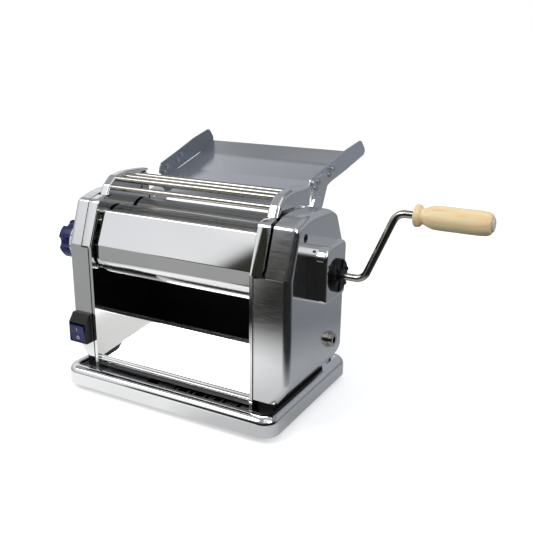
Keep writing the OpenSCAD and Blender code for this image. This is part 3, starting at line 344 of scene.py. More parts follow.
def finish_cad_nodes():
    """Gives each CAD node its slot's material and smooth shading on its curved faces."""
    for part in frame["record"]["subparts"]:
        node = nodes[part["node"]]
        node.data.materials.clear()
        node.data.materials.append(FINISHES[OWN_FINISH.get(part["node"], part["material_slot"])])
        node.data.polygons.foreach_set("use_smooth", [True] * len(node.data.polygons))
        node.data.polygons.foreach_set("material_index", [0] * len(node.data.polygons))
        weld = node.modifiers.new("join_faces", "WELD")
        weld.merge_threshold = 0.00001
        split = node.modifiers.new("keep_edges", "EDGE_SPLIT")
        split.split_angle = math.radians(SMOOTH_ANGLE)
        split.use_edge_sharp = False
        node.modifiers.new("flat_faces_first", "WEIGHTED_NORMAL")


finish_cad_nodes()


# ---------- modelling helpers ----------
def make_active(piece):
    """Selects one piece alone, in object mode, for the next operator."""
    bpy.ops.object.select_all(action="DESELECT")
    bpy.context.view_layer.objects.active = piece
    piece.select_set(True)


def apply_modifier(piece, modifier):
    """Works a modifier into the piece's mesh."""
    make_active(piece)
    bpy.ops.object.modifier_apply(modifier=modifier.name)


def apply_place(piece):
    """Puts a piece's place, turn and scale into its mesh."""
    make_active(piece)
    bpy.ops.object.transform_apply(location=True, rotation=True, scale=True)


def start_box(name, low, high):
    """A box between two places, ready in edit mode with nothing selected."""
    bpy.ops.object.select_all(action="DESELECT")
    a, b = place(*low), place(*high)
    bpy.ops.mesh.primitive_cube_add(size=1, location=(a + b) / 2, scale=b - a)
    piece = bpy.context.object
    piece.name = name
    piece.data.name = name
    bpy.ops.object.transform_apply(location=True, rotation=True, scale=True)
    bpy.ops.object.mode_set(mode="EDIT")
    bpy.ops.mesh.select_all(action="DESELECT")
    return piece


def pick(piece, kind, test):
    """Selects the piece's corners, edges or faces for which test is true, in edit mode."""
    bpy.ops.mesh.select_mode(type=kind)
    bpy.ops.mesh.select_all(action="DESELECT")
    mesh = bmesh.from_edit_mesh(piece.data)
    for item in {"VERT": mesh.verts, "EDGE": mesh.edges, "FACE": mesh.faces}[kind]:
        if test(item):
            item.select_set(True)
    mesh.select_flush_mode()
    bmesh.update_edit_mesh(piece.data)


def local(point):
    """A point of the model's frame, in millimetres from the machine's datum."""
    return ((point.x - MID_X) * 1000, (point.y - FRONT_Y) * 1000, (point.z - FLOOR_Z) * 1000)


# Two places closer than this many millimetres count as one
SAME = 0.05


def near_line(edge, y, z):
    """True if an edge runs along X at y, z."""
    ends = [local(v.co) for v in edge.verts]
    return all(abs(p[1] - y) < SAME and abs(p[2] - z) < SAME for p in ends)


def at_x(edge, x):
    """True if an edge lies in the plane across the rollers at x."""
    return all(abs(local(v.co)[0] - x) < SAME for v in edge.verts)


def slice_off(y0, z0, y1, z1):
    """Cuts off what is to the left of a line in the side view, from its first to its second point."""
    bpy.ops.mesh.select_all(action="SELECT")
    ahead = Vector((0, y1 - y0, z1 - z0)).normalized()
    bpy.ops.mesh.bisect(plane_co=place(0, y0, z0), plane_no=(0, -ahead.z, ahead.y),
                        use_fill=True, clear_outer=True)


def bevel(radius, turn, segments=8, kind="EDGES"):
    """Rounds the selected edges, whose faces meet with a turn in degrees, to a radius in mm."""
    bpy.ops.mesh.bevel(offset=radius / 1000 * math.tan(math.radians(turn) / 2), offset_type="OFFSET",
                       segments=segments, affect=kind, clamp_overlap=False)


def cut_with(piece, cutter):
    """Takes the cutter's solid out of the piece, then removes the cutter."""
    cut = piece.modifiers.new("cut", "BOOLEAN")
    cut.operation = "DIFFERENCE"
    cut.solver = "EXACT"
    cut.object = cutter
    apply_modifier(piece, cut)
    bpy.data.objects.remove(cutter)


def round_bar(name, x0, x1, radius, y, z, sides=48):
    """A plain bar along X: it starts the rods and the dial, and it cuts the bores."""
    bpy.ops.object.select_all(action="DESELECT")
    a, b = place(x0, y, z), place(x1, y, z)
    bpy.ops.mesh.primitive_cylinder_add(vertices=sides, radius=radius / 1000, depth=(b - a).length,
                                        location=(a + b) / 2, rotation=(0, math.pi / 2, 0))
    bar = bpy.context.object
    bar.name = name
    bpy.ops.object.transform_apply(location=True, rotation=True, scale=True)
    return bar


def give_thickness(piece, thickness, outwards=False):
    """Turns an open skin into a wall that reaches inwards from it, or outwards."""
    wall = piece.modifiers.new("wall", "SOLIDIFY")
    wall.thickness = thickness / 1000
    wall.offset = 1 if outwards else -1
    wall.use_even_offset = not outwards
    apply_modifier(piece, wall)


def finish_piece(piece, finish, body, replaced=()):
    """Smooths a finished piece, gives it its finish and seats it on its body."""
    make_active(piece)
    bpy.ops.object.shade_smooth_by_angle(angle=math.radians(SMOOTH_ANGLE))
    flat = piece.modifiers.new("flat_faces_first", "WEIGHTED_NORMAL")
    flat.keep_sharp = True
    piece.data.materials.clear()
    piece.data.materials.append(FINISHES[finish])
    if replaced:
        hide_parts(*replaced)
    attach(piece, body)


# ---------- casings ----------
# Each casing is cut from a block of this height
CASING_BLOCK = 232
CASING_FOOT = 18.5
CASING_BACK = 151.8
CASING_LINE = [(0, CASING_FOOT), (0, 166.5), (19.5, 221), (48, 229), (104, 227.4), (126, 217.6),
               (CASING_BACK, 165), (149, CASING_FOOT)]
# Radius at each corner of the side view, and of the rim round the outer side
CASING_RADII = {1: 6, 2: 7, 3: 60, 4: 50, 5: 9, 6: 8}
RIM_RADIUS = 8
# Distances from the mid-plane: where both casings open, and the outer side of each
CASING_INNER = 118.6
RIGHT_OUTER = 162.7
LEFT_OUTER = 151
# The outer side leans in below this height, by this much at the foot
LEAN_TOP = 39
LEAN = 15
CASING_WALL = 2
# The step let into each casing's edge, where the bright strip and the guard's bracket lie
GROOVE_LINE = [(-0.65, 164.7), (19.5, 221), (48, 229), (104, 227.4), (124.2, 218.4)]
GROOVE_DEPTH = 7
GROOVE_INNER = 117
# The groove's cutter stands this high above the groove's floor, clear of the casing
GROOVE_CUT = 24
# Centres in the side view of what passes through the casings
SCREW_PLACE = (36, 207)
CRANK_AXIS = (70, 160)
KNOB_AXIS = (38, 160)
LEAD_PLACE = (108, 63.6)
SET_SCREW_PLACE = (108, 131)


def inward(line, i):
    """Unit vector from corner i of a side view towards its inside, and the turn there in degrees."""
    before = Vector((line[i][0] - line[i - 1][0], line[i][1] - line[i - 1][1])).normalized()
    after = Vector((line[i + 1][0] - line[i][0], line[i + 1][1] - line[i][1])).normalized()
    return (after - before).normalized(), math.degrees(before.angle(after))


def on_mitre(edge, corner, way, reach):
    """True if an edge runs along X on a corner, or across the rounded outer edge from it."""
    for v in edge.verts:
        x, y, z = local(v.co)
        off = Vector((y - corner[0], z - corner[1]))
        along = off.dot(way)
        if abs(off.length_squared - along * along) > 0.01 or along < -0.1 or along > reach:
            return False
    return True


def round_corners(piece, line, radii, reach, segments):
    """Rounds corners of a block's side view, also where they cross its rounded outer edge."""
    for i, radius in radii.items():
        way, turn = inward(line, i)
        pick(piece, "EDGE", lambda e: on_mitre(e, line[i], way, reach))
        bevel(radius, turn, segments)


def make_casing(name, side, outer):
    """One end casing, still solid: a block cut to its side view and rounded."""
    low, high = sorted((side * CASING_INNER, side * outer))
    piece = start_box(name, (low, 0, CASING_FOOT), (high, CASING_BACK, CASING_BLOCK))
    for (y0, z0), (y1, z1) in zip(CASING_LINE[1:-1], CASING_LINE[2:]):
        slice_off(y0, z0, y1, z1)
    bpy.ops.mesh.select_all(action="SELECT")
    lean_way = Vector((side * (LEAN_TOP - CASING_FOOT), 0, -LEAN)).normalized()
    bpy.ops.mesh.bisect(plane_co=place(side * outer, 0, LEAN_TOP), plane_no=lean_way,
                        use_fill=True, clear_outer=True)

    def outer_rim(edge):
        ends = [local(v.co) for v in edge.verts]
        on_lean = all(p[2] < LEAN_TOP + 0.1 and abs(p[0]) > outer - LEAN - 0.1 for p in ends)
        return at_x(edge, side * outer) or (on_lean and abs(ends[0][0] - ends[1][0]) > 1)

    pick(piece, "EDGE", outer_rim)
    bevel(RIM_RADIUS, 90, segments=10)
    round_corners(piece, CASING_LINE, CASING_RADII, 13, 6)
    bpy.ops.object.mode_set(mode="OBJECT")
    return piece


def folded_skin(name, path, x0, x1):
    """A sheet folded along a side view; its outer face is on the left of the path. Left in edit mode."""
    bpy.ops.object.select_all(action="DESELECT")
    (y0, z0), (y1, z1) = path[0], path[1]
    bpy.ops.mesh.primitive_plane_add(size=1, location=place((x0 + x1) / 2, (y0 + y1) / 2, (z0 + z1) / 2),
                                     rotation=(math.atan2(z1 - z0, y1 - y0), 0, 0))
    skin = bpy.context.object
    skin.scale = ((x1 - x0) / 1000, math.hypot(y1 - y0, z1 - z0) / 1000, 1)
    skin.name = name
    skin.data.name = name
    bpy.ops.object.transform_apply(location=True, rotation=True, scale=True)
    bpy.ops.object.mode_set(mode="EDIT")
    for (y0, z0), (y1, z1) in zip(path[1:-1], path[2:]):
        pick(skin, "EDGE", lambda e: near_line(e, y0, z0))
        bpy.ops.mesh.extrude_region_move(
            TRANSFORM_OT_translate={"value": (0, (y1 - y0) / 1000, (z1 - z0) / 1000)})
    return skin


def round_folds(skin, path, radii, segments):
    """Rounds the folds of a folded skin; radii gives the radius at each fold by its place in the path."""
    for i, radius in radii.items():
        pick(skin, "EDGE", lambda e: near_line(e, *path[i]))
        bevel(radius, inward(path, i)[1], segments)


def beside(path, distance):
    """The side view moved to its right by a distance."""
    rights = [Vector((z1 - z0, y0 - y1)).normalized() for (y0, z0), (y1, z1) in zip(path, path[1:])]
    moved = []
    for i, (y, z) in enumerate(path):
        before = rights[max(i - 1, 0)]
        after = rights[min(i, len(rights) - 1)]
        side = (before + after).normalized()
        move = side * distance / side.dot(before)
        moved.append((y + move.x, z + move.y))
    return moved


def soften_edges(piece, width):
    """A small bevel on the edges where the piece turns by more than 50 degrees."""
    soft = piece.modifiers.new("soft_edges", "BEVEL")
    soft.width = width / 1000
    soft.segments = 2
    soft.limit_method = "ANGLE"
    soft.angle_limit = math.radians(50)
    apply_modifier(piece, soft)


def finish_casing(piece, side, groove_out, holes):
    """Grooves a casing as far out as groove_out, hollows it and bores its holes."""
    low, high = sorted((side * GROOVE_INNER, side * groove_out))
    groove = folded_skin("groove", beside(GROOVE_LINE, GROOVE_DEPTH), low, high)
    bpy.ops.object.mode_set(mode="OBJECT")
    give_thickness(groove, GROOVE_CUT, outwards=True)
    cut_with(piece, groove)
    bpy.ops.object.mode_set(mode="EDIT")
    pick(piece, "FACE", lambda f: abs(local(f.calc_center_median())[0] - side * CASING_INNER) < SAME)
    bpy.ops.mesh.delete(type="FACE")
    bpy.ops.object.mode_set(mode="OBJECT")
    give_thickness(piece, CASING_WALL)
    for x0, x1, radius, centre in holes:
        cut_with(piece, round_bar("hole", x0, x1, radius, *centre))


# ---------- front cover ----------
COVER_FOOT = 131
COVER_PATH = [(21, COVER_FOOT), (6.2, 146), (7, 168), (23.4, 209.6), (33.0, 208.4)]
COVER_FOLDS = {3: 3, 2: 3, 1: 16}
COVER_HALF = 110
COVER_CORNER = 12
COVER_SHEET = 1.2


def make_front_cover():
    """The folded front sheet, with its two lower corners rounded."""
    cover = folded_skin("front_cover_sheet", COVER_PATH, -COVER_HALF, COVER_HALF)

    def lower_corner(vert):
        x, _, z = local(vert.co)
        return abs(abs(x) - COVER_HALF) < SAME and abs(z - COVER_FOOT) < SAME

    pick(cover, "VERT", lower_corner)
    bevel(COVER_CORNER, 90, 8, "VERTICES")
    round_folds(cover, COVER_PATH, COVER_FOLDS, 10)
    bpy.ops.object.mode_set(mode="OBJECT")
    give_thickness(cover, COVER_SHEET)
    soften_edges(cover, 0.3)
    return cover


# ---------- base tray ----------
TRAY_LOW = (-154, -21.3, -15)
TRAY_HIGH = (154, 194.7, 8)
TRAY_SHEET = 1.6
TRAY_CORNER = 20
# The rim, from outside to inside: a rolled edge, a flat ring and a rounded step down to the floor
RIM_ROLL = 9
RIM_FLAT = 4
RIM_INSIDE = 3
SLOT_COUNT = 49
SLOT_PITCH = 4
SLOT_WIDTH = 2.2
SLOT_ENDS = (5.2, 13.2)
FOOT_SCREWS = [(x, y) for x in (-129, 129) for y in (3.7, 169.7)]
FOOT_HOLE = 2.6


def make_base_tray():
    """Pressed tray with a rolled rim, a sunk floor and a row of vent slots."""
    tray = start_box("base_tray_shell", TRAY_LOW, TRAY_HIGH)
    pick(tray, "EDGE", lambda e: abs(e.verts[0].co.z - e.verts[1].co.z) > 0.01)
    bevel(TRAY_CORNER, 90, 14)
    pick(tray, "FACE", lambda f: f.normal.z > 0.9)
    bpy.ops.mesh.region_to_loop()
    bevel(RIM_ROLL, 90, 10)
    pick(tray, "FACE", lambda f: f.normal.z > 0.999)
    bpy.ops.mesh.inset(thickness=RIM_FLAT / 1000)
    bpy.ops.mesh.extrude_region_move(TRANSFORM_OT_translate={"value": (0, 0, -TRAY_HIGH[2] / 1000)})
    edge_in = RIM_ROLL + RIM_FLAT - 0.2

    def inner_rim(edge):
        for x, y, z in [local(v.co) for v in edge.verts]:
            across = TRAY_LOW[0] + edge_in < x < TRAY_HIGH[0] - edge_in
            along = TRAY_LOW[1] + edge_in < y < TRAY_HIGH[1] - edge_in
            if not (across and along and abs(z - TRAY_HIGH[2]) < SAME):
                return False
        return abs(edge.calc_face_angle(0)) > 1

    pick(tray, "EDGE", inner_rim)
    bevel(RIM_INSIDE, 90, 6)
    pick(tray, "FACE", lambda f: f.normal.z < -0.9)
    bpy.ops.mesh.delete(type="FACE")
    bpy.ops.object.mode_set(mode="OBJECT")
    give_thickness(tray, TRAY_SHEET)
    first = -SLOT_PITCH * (SLOT_COUNT - 1) / 2
    slots = start_box("slots", (first - SLOT_WIDTH / 2, SLOT_ENDS[0], -4),
                      (first + SLOT_WIDTH / 2, SLOT_ENDS[1], 2))
    bpy.ops.object.mode_set(mode="OBJECT")
    row = slots.modifiers.new("row", "ARRAY")
    row.count = SLOT_COUNT
    row.use_relative_offset = False
    row.use_constant_offset = True
    row.constant_offset_displace = (SLOT_PITCH / 1000, 0, 0)
    apply_modifier(slots, row)
    cut_with(tray, slots)
    for x, y in FOOT_SCREWS:
        bpy.ops.object.select_all(action="DESELECT")
        bpy.ops.mesh.primitive_cylinder_add(vertices=24, radius=FOOT_HOLE / 1000, depth=0.006,
                                            location=place(x, y, 0))
        hole = bpy.context.object
        apply_place(hole)
        cut_with(tray, hole)
    return tray


def paint_tray_recess_reflection(tray):
    """Paints a reflection on the tray's floor, in front of the chute: a darker, duller grey copy of its
    chrome.
    """
    tray.data.materials.append(FINISHES["tray_recess_painted_reflection"])
    for face in tray.data.polygons:
        _, y, z = local(face.center)
        if face.normal.z > 0.9 and abs(z) < 0.1 and y < 60:
            face.material_index = 1


# ---------- gearbox ----------
GEARBOX_LOW = (RIGHT_OUTER + 0.01, 39, 132.5)
GEARBOX_HIGH = (187, 94, 197)
GEARBOX_WALL = 3
CRANK_BORE = 10


def make_gearbox():
    """The crank's gearbox: a shell, open towards the casing, with a broad round at its top front."""
    box = start_box("gearbox_shell", GEARBOX_LOW, GEARBOX_HIGH)
    _, front, foot = GEARBOX_LOW
    outer, back, top = GEARBOX_HIGH
    pick(box, "EDGE", lambda e: near_line(e, front, top))
    bevel(16, 90, 12)
    pick(box, "EDGE", lambda e: near_line(e, back, top))
    bevel(7, 90, 8)
    pick(box, "EDGE", lambda e: near_line(e, back, foot) or near_line(e, front, foot))
    bevel(5, 90, 8)
    pick(box, "FACE", lambda f: f.normal.x > 0.9)
    bpy.ops.mesh.region_to_loop()
    bevel(4, 90, 8)
    pick(box, "FACE", lambda f: f.normal.x < -0.9)
    bpy.ops.mesh.delete(type="FACE")
    bpy.ops.object.mode_set(mode="OBJECT")
    give_thickness(box, GEARBOX_WALL)
    cut_with(box, round_bar("bore", outer - 7, outer + 3, CRANK_BORE, *CRANK_AXIS))
    return box


# ---------- guard brackets ----------
BRACKET_BLOCK = 252
BRACKET_INNER = 113.3
BRACKET_OUTER = 128
BRACKET_FRONT = 36
BRACKET_BACK = 120
BRACKET_FOOT = 225
BRACKET_LINE = [(40, BRACKET_FOOT), (BRACKET_FRONT, BRACKET_FOOT), (42, 237), (54, 247), (75, 250),
                (100, 249.2), (BRACKET_BACK, 247.8), (BRACKET_BACK, BRACKET_FOOT)]
BRACKET_RADII = {2: 6, 3: 9, 4: 20, 5: 20}
BRACKET_WALL = 2.5
# Cut out of the inner cheek around the hinge ear: distances out, back and up
EAR_OUT = (112, 117.3)
EAR_BACK = (103, 122)
EAR_UP = (220, 245.2)


def make_guard_bracket(name, side):
    """A bracket of the guard: a curved top over two cheeks, the inner one short of the hinge ear."""
    low, high = sorted((side * BRACKET_INNER, side * BRACKET_OUTER))
    bracket = start_box(name, (low, BRACKET_FRONT, BRACKET_FOOT), (high, BRACKET_BACK, BRACKET_BLOCK))
    for (y0, z0), (y1, z1) in zip(BRACKET_LINE[1:-2], BRACKET_LINE[2:-1]):
        slice_off(y0, z0, y1, z1)
    for x, radius in ((BRACKET_OUTER, 5), (BRACKET_INNER, 3)):
        pick(bracket, "EDGE", lambda e: at_x(e, side * x)
             and not all(local(v.co)[2] < BRACKET_FOOT + 0.1 for v in e.verts))
        bevel(radius, 90, 6)
    round_corners(bracket, BRACKET_LINE, BRACKET_RADII, 5, 5)
    pick(bracket, "FACE", lambda f: f.normal.z < -0.9)
    bpy.ops.mesh.delete(type="FACE")
    bpy.ops.object.mode_set(mode="OBJECT")
    give_thickness(bracket, BRACKET_WALL)
    low, high = sorted((side * EAR_OUT[0], side * EAR_OUT[1]))
    ear_room = start_box("ear_room", (low, EAR_BACK[0], EAR_UP[0]), (high, EAR_BACK[1], EAR_UP[1]))
    bpy.ops.object.mode_set(mode="OBJECT")
    cut_with(bracket, ear_room)
    return bracket


# ---------- guard rods ----------
ROD_PLACES = [(45, 234), (56, 243), (74, 243), (91, 243)]
ROD_RADIUS = 3.5
# The rods end flush in the brackets' inner cheeks
ROD_HALF = BRACKET_INNER + BRACKET_WALL


def make_guard_rods():
    """Ground rods with softened edges, each a copy of the one before."""
    rods = round_bar("guard_rod_set", -ROD_HALF, ROD_HALF, ROD_RADIUS, *ROD_PLACES[0], 40)
    bpy.ops.object.mode_set(mode="EDIT")
    pick(rods, "EDGE", lambda e: all(abs(abs(local(v.co)[0]) - ROD_HALF) < SAME for v in e.verts))
    bevel(0.5, 90, 2)
    bpy.ops.mesh.select_all(action="SELECT")
    for (y0, z0), (y1, z1) in zip(ROD_PLACES, ROD_PLACES[1:]):
        bpy.ops.mesh.duplicate_move(
            TRANSFORM_OT_translate={"value": (0, (y1 - y0) / 1000, (z1 - z0) / 1000)})
    bpy.ops.object.mode_set(mode="OBJECT")
    return rods


# ---------- strips beside the casings ----------
STRIP_LINE = [(0.1, 166.7), (19.5, 221), (34, 224.8)]
STRIP_INNER = 113.2
STRIP_OUTER = 127.8
STRIP_ROWS = 12
# The face rises by this much beside its edges, and by this much more along its middle
STRIP_STEP = 0.1
STRIP_CROWN = 0.3
STRIP_SHEET = 0.6


def make_strip(name, side):
    """The crowned bright face of the strip between a casing and the front cover."""
    low, high = sorted((side * STRIP_INNER, side * STRIP_OUTER))
    strip = folded_skin(name, STRIP_LINE, low, high)
    round_folds(strip, STRIP_LINE, {1: 7}, 6)
    pick(strip, "EDGE", lambda e: abs(e.verts[0].co.x - e.verts[1].co.x) > 0.01)
    bpy.ops.mesh.subdivide(number_cuts=STRIP_ROWS - 1)
    for i in range(1, STRIP_ROWS):
        x = low + (high - low) * i / STRIP_ROWS
        from_middle = 2 * i / STRIP_ROWS - 1
        rise = STRIP_CROWN * (1 - from_middle ** 2) + STRIP_STEP
        pick(strip, "VERT", lambda v: abs(local(v.co)[0] - x) < 0.1)
        bpy.ops.transform.shrink_fatten(value=rise / 1000)
    bpy.ops.object.mode_set(mode="OBJECT")
    give_thickness(strip, STRIP_SHEET)
    return strip


# ---------- dial ----------
DIAL_TURN = 270
DIAL_STEPS = 10
# The dial's slope in its side view, as (distance along X, radius): from the grip to the rim
DIAL_SLOPE = [(-160, 27), (-152.3, 31.6)]
DIAL_RIM = 1
DIAL_EDGE = 0.8
MARK_THICKNESS = 0.3
MARK_LIFT = 0.1
NUMBER_SIZE = 5.2
TICK_SIZE = 3.4


def make_dial():
    """The turned ring that carries the numbers; it slopes out towards the casing."""
    (x0, r0), (x1, r1) = DIAL_SLOPE
    rim = x1 + DIAL_RIM
    ring = round_bar("dial_ring", x0, rim, r1, *KNOB_AXIS, 96)
    bpy.ops.object.mode_set(mode="EDIT")
    pick(ring, "VERT", lambda v: abs(local(v.co)[0] - x0) < SAME)
    bpy.ops.transform.resize(value=(1, r0 / r1, r0 / r1), center_override=place(x0, *KNOB_AXIS))
    for x in (x0, rim):
        pick(ring, "EDGE", lambda e: at_x(e, x))
        bevel(DIAL_EDGE, 90, 4)
    bpy.ops.object.mode_set(mode="OBJECT")
    return ring


def flat_mark(text, size):
    """A number or sign as a thin solid with its middle at the origin, facing up."""
    bpy.ops.object.select_all(action="DESELECT")
    bpy.ops.object.text_add(location=(0, 0, 0))
    mark = bpy.context.object
    mark.data.body = text
    mark.data.size = size / 1000
    mark.data.extrude = MARK_THICKNESS / 2 / 1000
    mark.data.resolution_u = 3
    mark.data.align_x = "CENTER"
    mark.data.align_y = "CENTER"
    bpy.ops.object.convert(target="MESH")
    return bpy.context.object


def seat_mark(mark, centre, turn):
    """Turns a mark, brings its middle to its place and puts both into its mesh."""
    mark.matrix_world = Matrix.Translation(centre) @ turn
    apply_place(mark)


def join_marks(name, marks):
    """Makes one piece of many marks."""
    bpy.ops.object.select_all(action="DESELECT")
    for mark in marks:
        mark.select_set(True)
    bpy.context.view_layer.objects.active = marks[0]
    bpy.ops.object.join()
    marks[0].name = name
    marks[0].data.name = name
    return marks[0]


def add_dial_marks():
    """Plain numbers and ticks round the numbered skirt, which slopes out towards the casing."""
    (x0, r0), (x1, r1) = DIAL_SLOPE
    slope = math.atan2(r1 - r0, x1 - x0)
    middle_x = (x0 + x1) / 2
    middle_r = (r0 + r1) / 2 + MARK_LIFT
    marks = []
    for i in range(2 * DIAL_STEPS + 1):
        angle = math.radians(-DIAL_TURN / 2 + DIAL_TURN * i / (2 * DIAL_STEPS))
        radial = Vector((0, -math.cos(angle), math.sin(angle)))
        out = (radial * math.cos(slope) - Vector((1, 0, 0)) * math.sin(slope)).normalized()
        along = (Vector((-1, 0, 0)) * math.cos(slope) - radial * math.sin(slope)).normalized()
        across = along.cross(out)
        mark = flat_mark("|", TICK_SIZE) if i % 2 else flat_mark(str(i // 2), NUMBER_SIZE)
        centre = place(middle_x, *KNOB_AXIS) + radial * middle_r / 1000
        seat_mark(mark, centre, Matrix((across, along, out)).transposed().to_4x4())
        marks.append(mark)
    finish_piece(join_marks("dial_numbers", marks), "navy_plastic", "knob")


# Each mark of the rocker: its sign, its place in the side view and the lean of the face that it is on
ROCKER_MARKS = [("I", -13.25, 57.4, 11), ("O", -11.65, 46.0, 5)]
ROCKER_MARK_SIZE = 6.5
SWITCH_X = -133.9


def add_rocker_marks():
    """The plain on and off marks of the rocker, one on each half of its face."""
    marks = []
    for text, y, z, lean in ROCKER_MARKS:
        mark = flat_mark(text, ROCKER_MARK_SIZE)
        seat_mark(mark, place(SWITCH_X, y, z), Matrix.Rotation(math.radians(90 + lean), 4, "X"))
        marks.append(mark)
    finish_piece(join_marks("rocker_marks", marks), "light_plastic", "rocker")


# ---------- all new pieces ----------
# Holes of each casing: (from, to, radius, centre)
RIGHT_HOLES = [(150, 164, 5, SCREW_PLACE), (150, 164, 10.3, CRANK_AXIS), (150, 164, 7.5, LEAD_PLACE),
               (150, 164, 1.6, SET_SCREW_PLACE)]
LEFT_HOLES = [(-152, -139, 5, SCREW_PLACE), (-152, -139, 5, KNOB_AXIS)]
# How far out each casing's step reaches
RIGHT_GROOVE = 133
LEFT_GROOVE = 129.2


def add_pieces():
    """Models every piece that takes a CAD node's place or is added to one."""
    right = make_casing("right_casing_shell", 1, RIGHT_OUTER)
    finish_casing(right, 1, RIGHT_GROOVE, RIGHT_HOLES)
    finish_piece(right, "casing_chrome", "housing", ["right_casing"])
    left = make_casing("left_casing_shell", -1, LEFT_OUTER)
    finish_casing(left, -1, LEFT_GROOVE, LEFT_HOLES)
    finish_piece(left, "casing_chrome", "housing", ["left_casing"])
    finish_piece(make_front_cover(), "chrome", "housing", ["front_cover"])
    finish_piece(make_strip("right_strip_face", 1), "chrome", "housing")
    finish_piece(make_strip("left_strip_face", -1), "chrome", "housing")
    finish_piece(make_guard_rods(), "rod_chrome", "guard", ["guard_rods"])
    tray = make_base_tray()
    finish_piece(tray, "chrome", "housing", ["base_tray"])
    paint_tray_recess_reflection(tray)
    finish_piece(make_gearbox(), "chrome", "housing", ["gearbox_housing"])
    finish_piece(make_guard_bracket("right_guard_bracket", 1), "chrome", "guard", ["guard_bracket_right"])
    finish_piece(make_guard_bracket("left_guard_bracket", -1), "chrome", "guard", ["guard_bracket_left"])
    finish_piece(make_dial(), "dial_silver", "knob", ["knob_skirt"])
    add_dial_marks()
    add_rocker_marks()


add_pieces()


# ---------- room ----------
def ring_ramp(tree, value, stops):
    """A colour for each direction round the machine; stops are (degrees from the front, colour)."""
    ramp = add_node(tree, "ValToRGB")
    edge = ramp.color_ramp
    while len(edge.elements) < len(stops):
        edge.elements.new(0.5)
    for element, (degrees, color) in zip(edge.elements, stops):
        element.position = degrees / 360 + 0.5
        element.color = (*color, 1)
    tree.links.new(value, ramp.inputs["Fac"])
    return ramp.outputs["Color"]


def from_centre(tree, where, centre):
    """The way from a centre to the place on the piece, whole and in its three parts."""
    shift = add_node(tree, "VectorMath", operation="SUBTRACT")
    shift.inputs[1].default_value = centre
    tree.links.new(where, shift.inputs[0])
    parts = add_node(tree, "SeparateXYZ")
    tree.links.new(shift.outputs["Vector"], parts.inputs["Vector"])
    return shift.outputs["Vector"], parts


def way_round(tree, parts, lean=None):
    """Direction round the machine, 0 to 1: front in the middle, right side above it, left below."""
    ahead = math_node(tree, "MULTIPLY", parts.outputs["Y"], -1.0)
    turn = math_node(tree, "ARCTAN2", parts.outputs["X"], ahead)
    share = math_node(tree, "ADD", math_node(tree, "DIVIDE", turn, 2 * math.pi), 0.5)
    return share if lean is None else math_node(tree, "ADD", share, lean)


# Tones of the studio, by degrees round the machine from its front: minus is its left
# The near floor's darker tones to the right and back are painted shade, on the side away from the key lamp,
# as the machine sees it
NEAR_FLOOR = [(-180, (0.42, 0.43, 0.45)), (-120, (0.55, 0.56, 0.57)), (-90, (0.92, 0.92, 0.91)),
              (-5, (0.92, 0.92, 0.91)), (25, (0.60, 0.60, 0.60)), (80, (0.42, 0.43, 0.45)),
              (180, (0.42, 0.43, 0.45))]
FAR_FLOOR = [(-180, (0.33, 0.35, 0.37)), (-120, (0.40, 0.41, 0.43)), (-60, (0.28, 0.28, 0.28)),
             (-19, (0.30, 0.30, 0.29)), (-13, (0.012, 0.012, 0.010)), (28, (0.012, 0.012, 0.012)),
             (90, (0.02, 0.021, 0.022)), (125, (0.19, 0.20, 0.22)), (180, (0.33, 0.35, 0.37))]
LOW_WALL = [(-180, (0.38, 0.40, 0.44)), (-144, (0.40, 0.42, 0.46)), (-140, (0.74, 0.75, 0.76)),
            (-100, (0.80, 0.80, 0.81)), (-60, (0.72, 0.73, 0.74)), (-42, (0.88, 0.89, 0.92)),
            (-32.4, (0.92, 0.93, 0.94)), (-32.0, (0.030, 0.030, 0.022)), (100, (0.018, 0.018, 0.018)),
            (125, (0.36, 0.38, 0.42)), (180, (0.38, 0.40, 0.44))]
HIGH_WALL = [(-180, (0.36, 0.38, 0.43)), (-144, (0.40, 0.42, 0.46)), (-132, (0.90, 0.91, 0.92)),
             (-28.5, (1.0, 1.0, 1.0)), (-26, (0.24, 0.26, 0.30)), (90, (0.24, 0.26, 0.30)),
             (130, (0.36, 0.38, 0.43)), (180, (0.36, 0.38, 0.43))]
TOP_WALL = [(-180, (0.075, 0.085, 0.105)), (-125, (0.075, 0.085, 0.105)), (-105, (0.28, 0.285, 0.29)),
            (-28.5, (0.28, 0.285, 0.29)), (-26, (0.20, 0.22, 0.26)), (15, (0.20, 0.22, 0.26)),
            (35, (1.0, 1.0, 1.0)), (80, (1.0, 1.0, 1.0)), (100, (0.075, 0.085, 0.105)),
            (180, (0.075, 0.085, 0.105))]
CEILING = [(-180, (0.37, 0.385, 0.41)), (15, (0.37, 0.385, 0.41)), (35, (1.0, 1.0, 1.0)),
           (80, (1.0, 1.0, 1.0)), (100, (0.37, 0.385, 0.41)), (180, (0.37, 0.385, 0.41))]
DOME_RADIUS = 3.7
DOME_CENTRE = (-0.085, -0.10, 0.18)
FLOOR_CENTRE = (-0.085, -0.05, 0)
# The near floor's tones give way to the far floor's between these two distances, in metres
FLOOR_EDGE = (0.27, 0.39)
# Strength of the floor's own light, as the camera and as metal see it
FLOOR_GLOW = 0.5
FLOOR_SHINE = 0.22
# Heights between which one ring of the room gives way to the next, as shares of the dome's radius
WALL_STEP = (0.38, 0.40)
TOP_STEP = (0.53, 0.63)
CEILING_STEP = (0.60, 0.71)
# The low wall is dimmer at the floor, and its tones lean round with height, as a share of a turn
DUSK_HEIGHTS = (0.0, 0.28)
DUSK = 0.6
LEAN_HEIGHTS = (0.25, 0.40)
LEAN_SHARES = (0.0136, -0.0086)


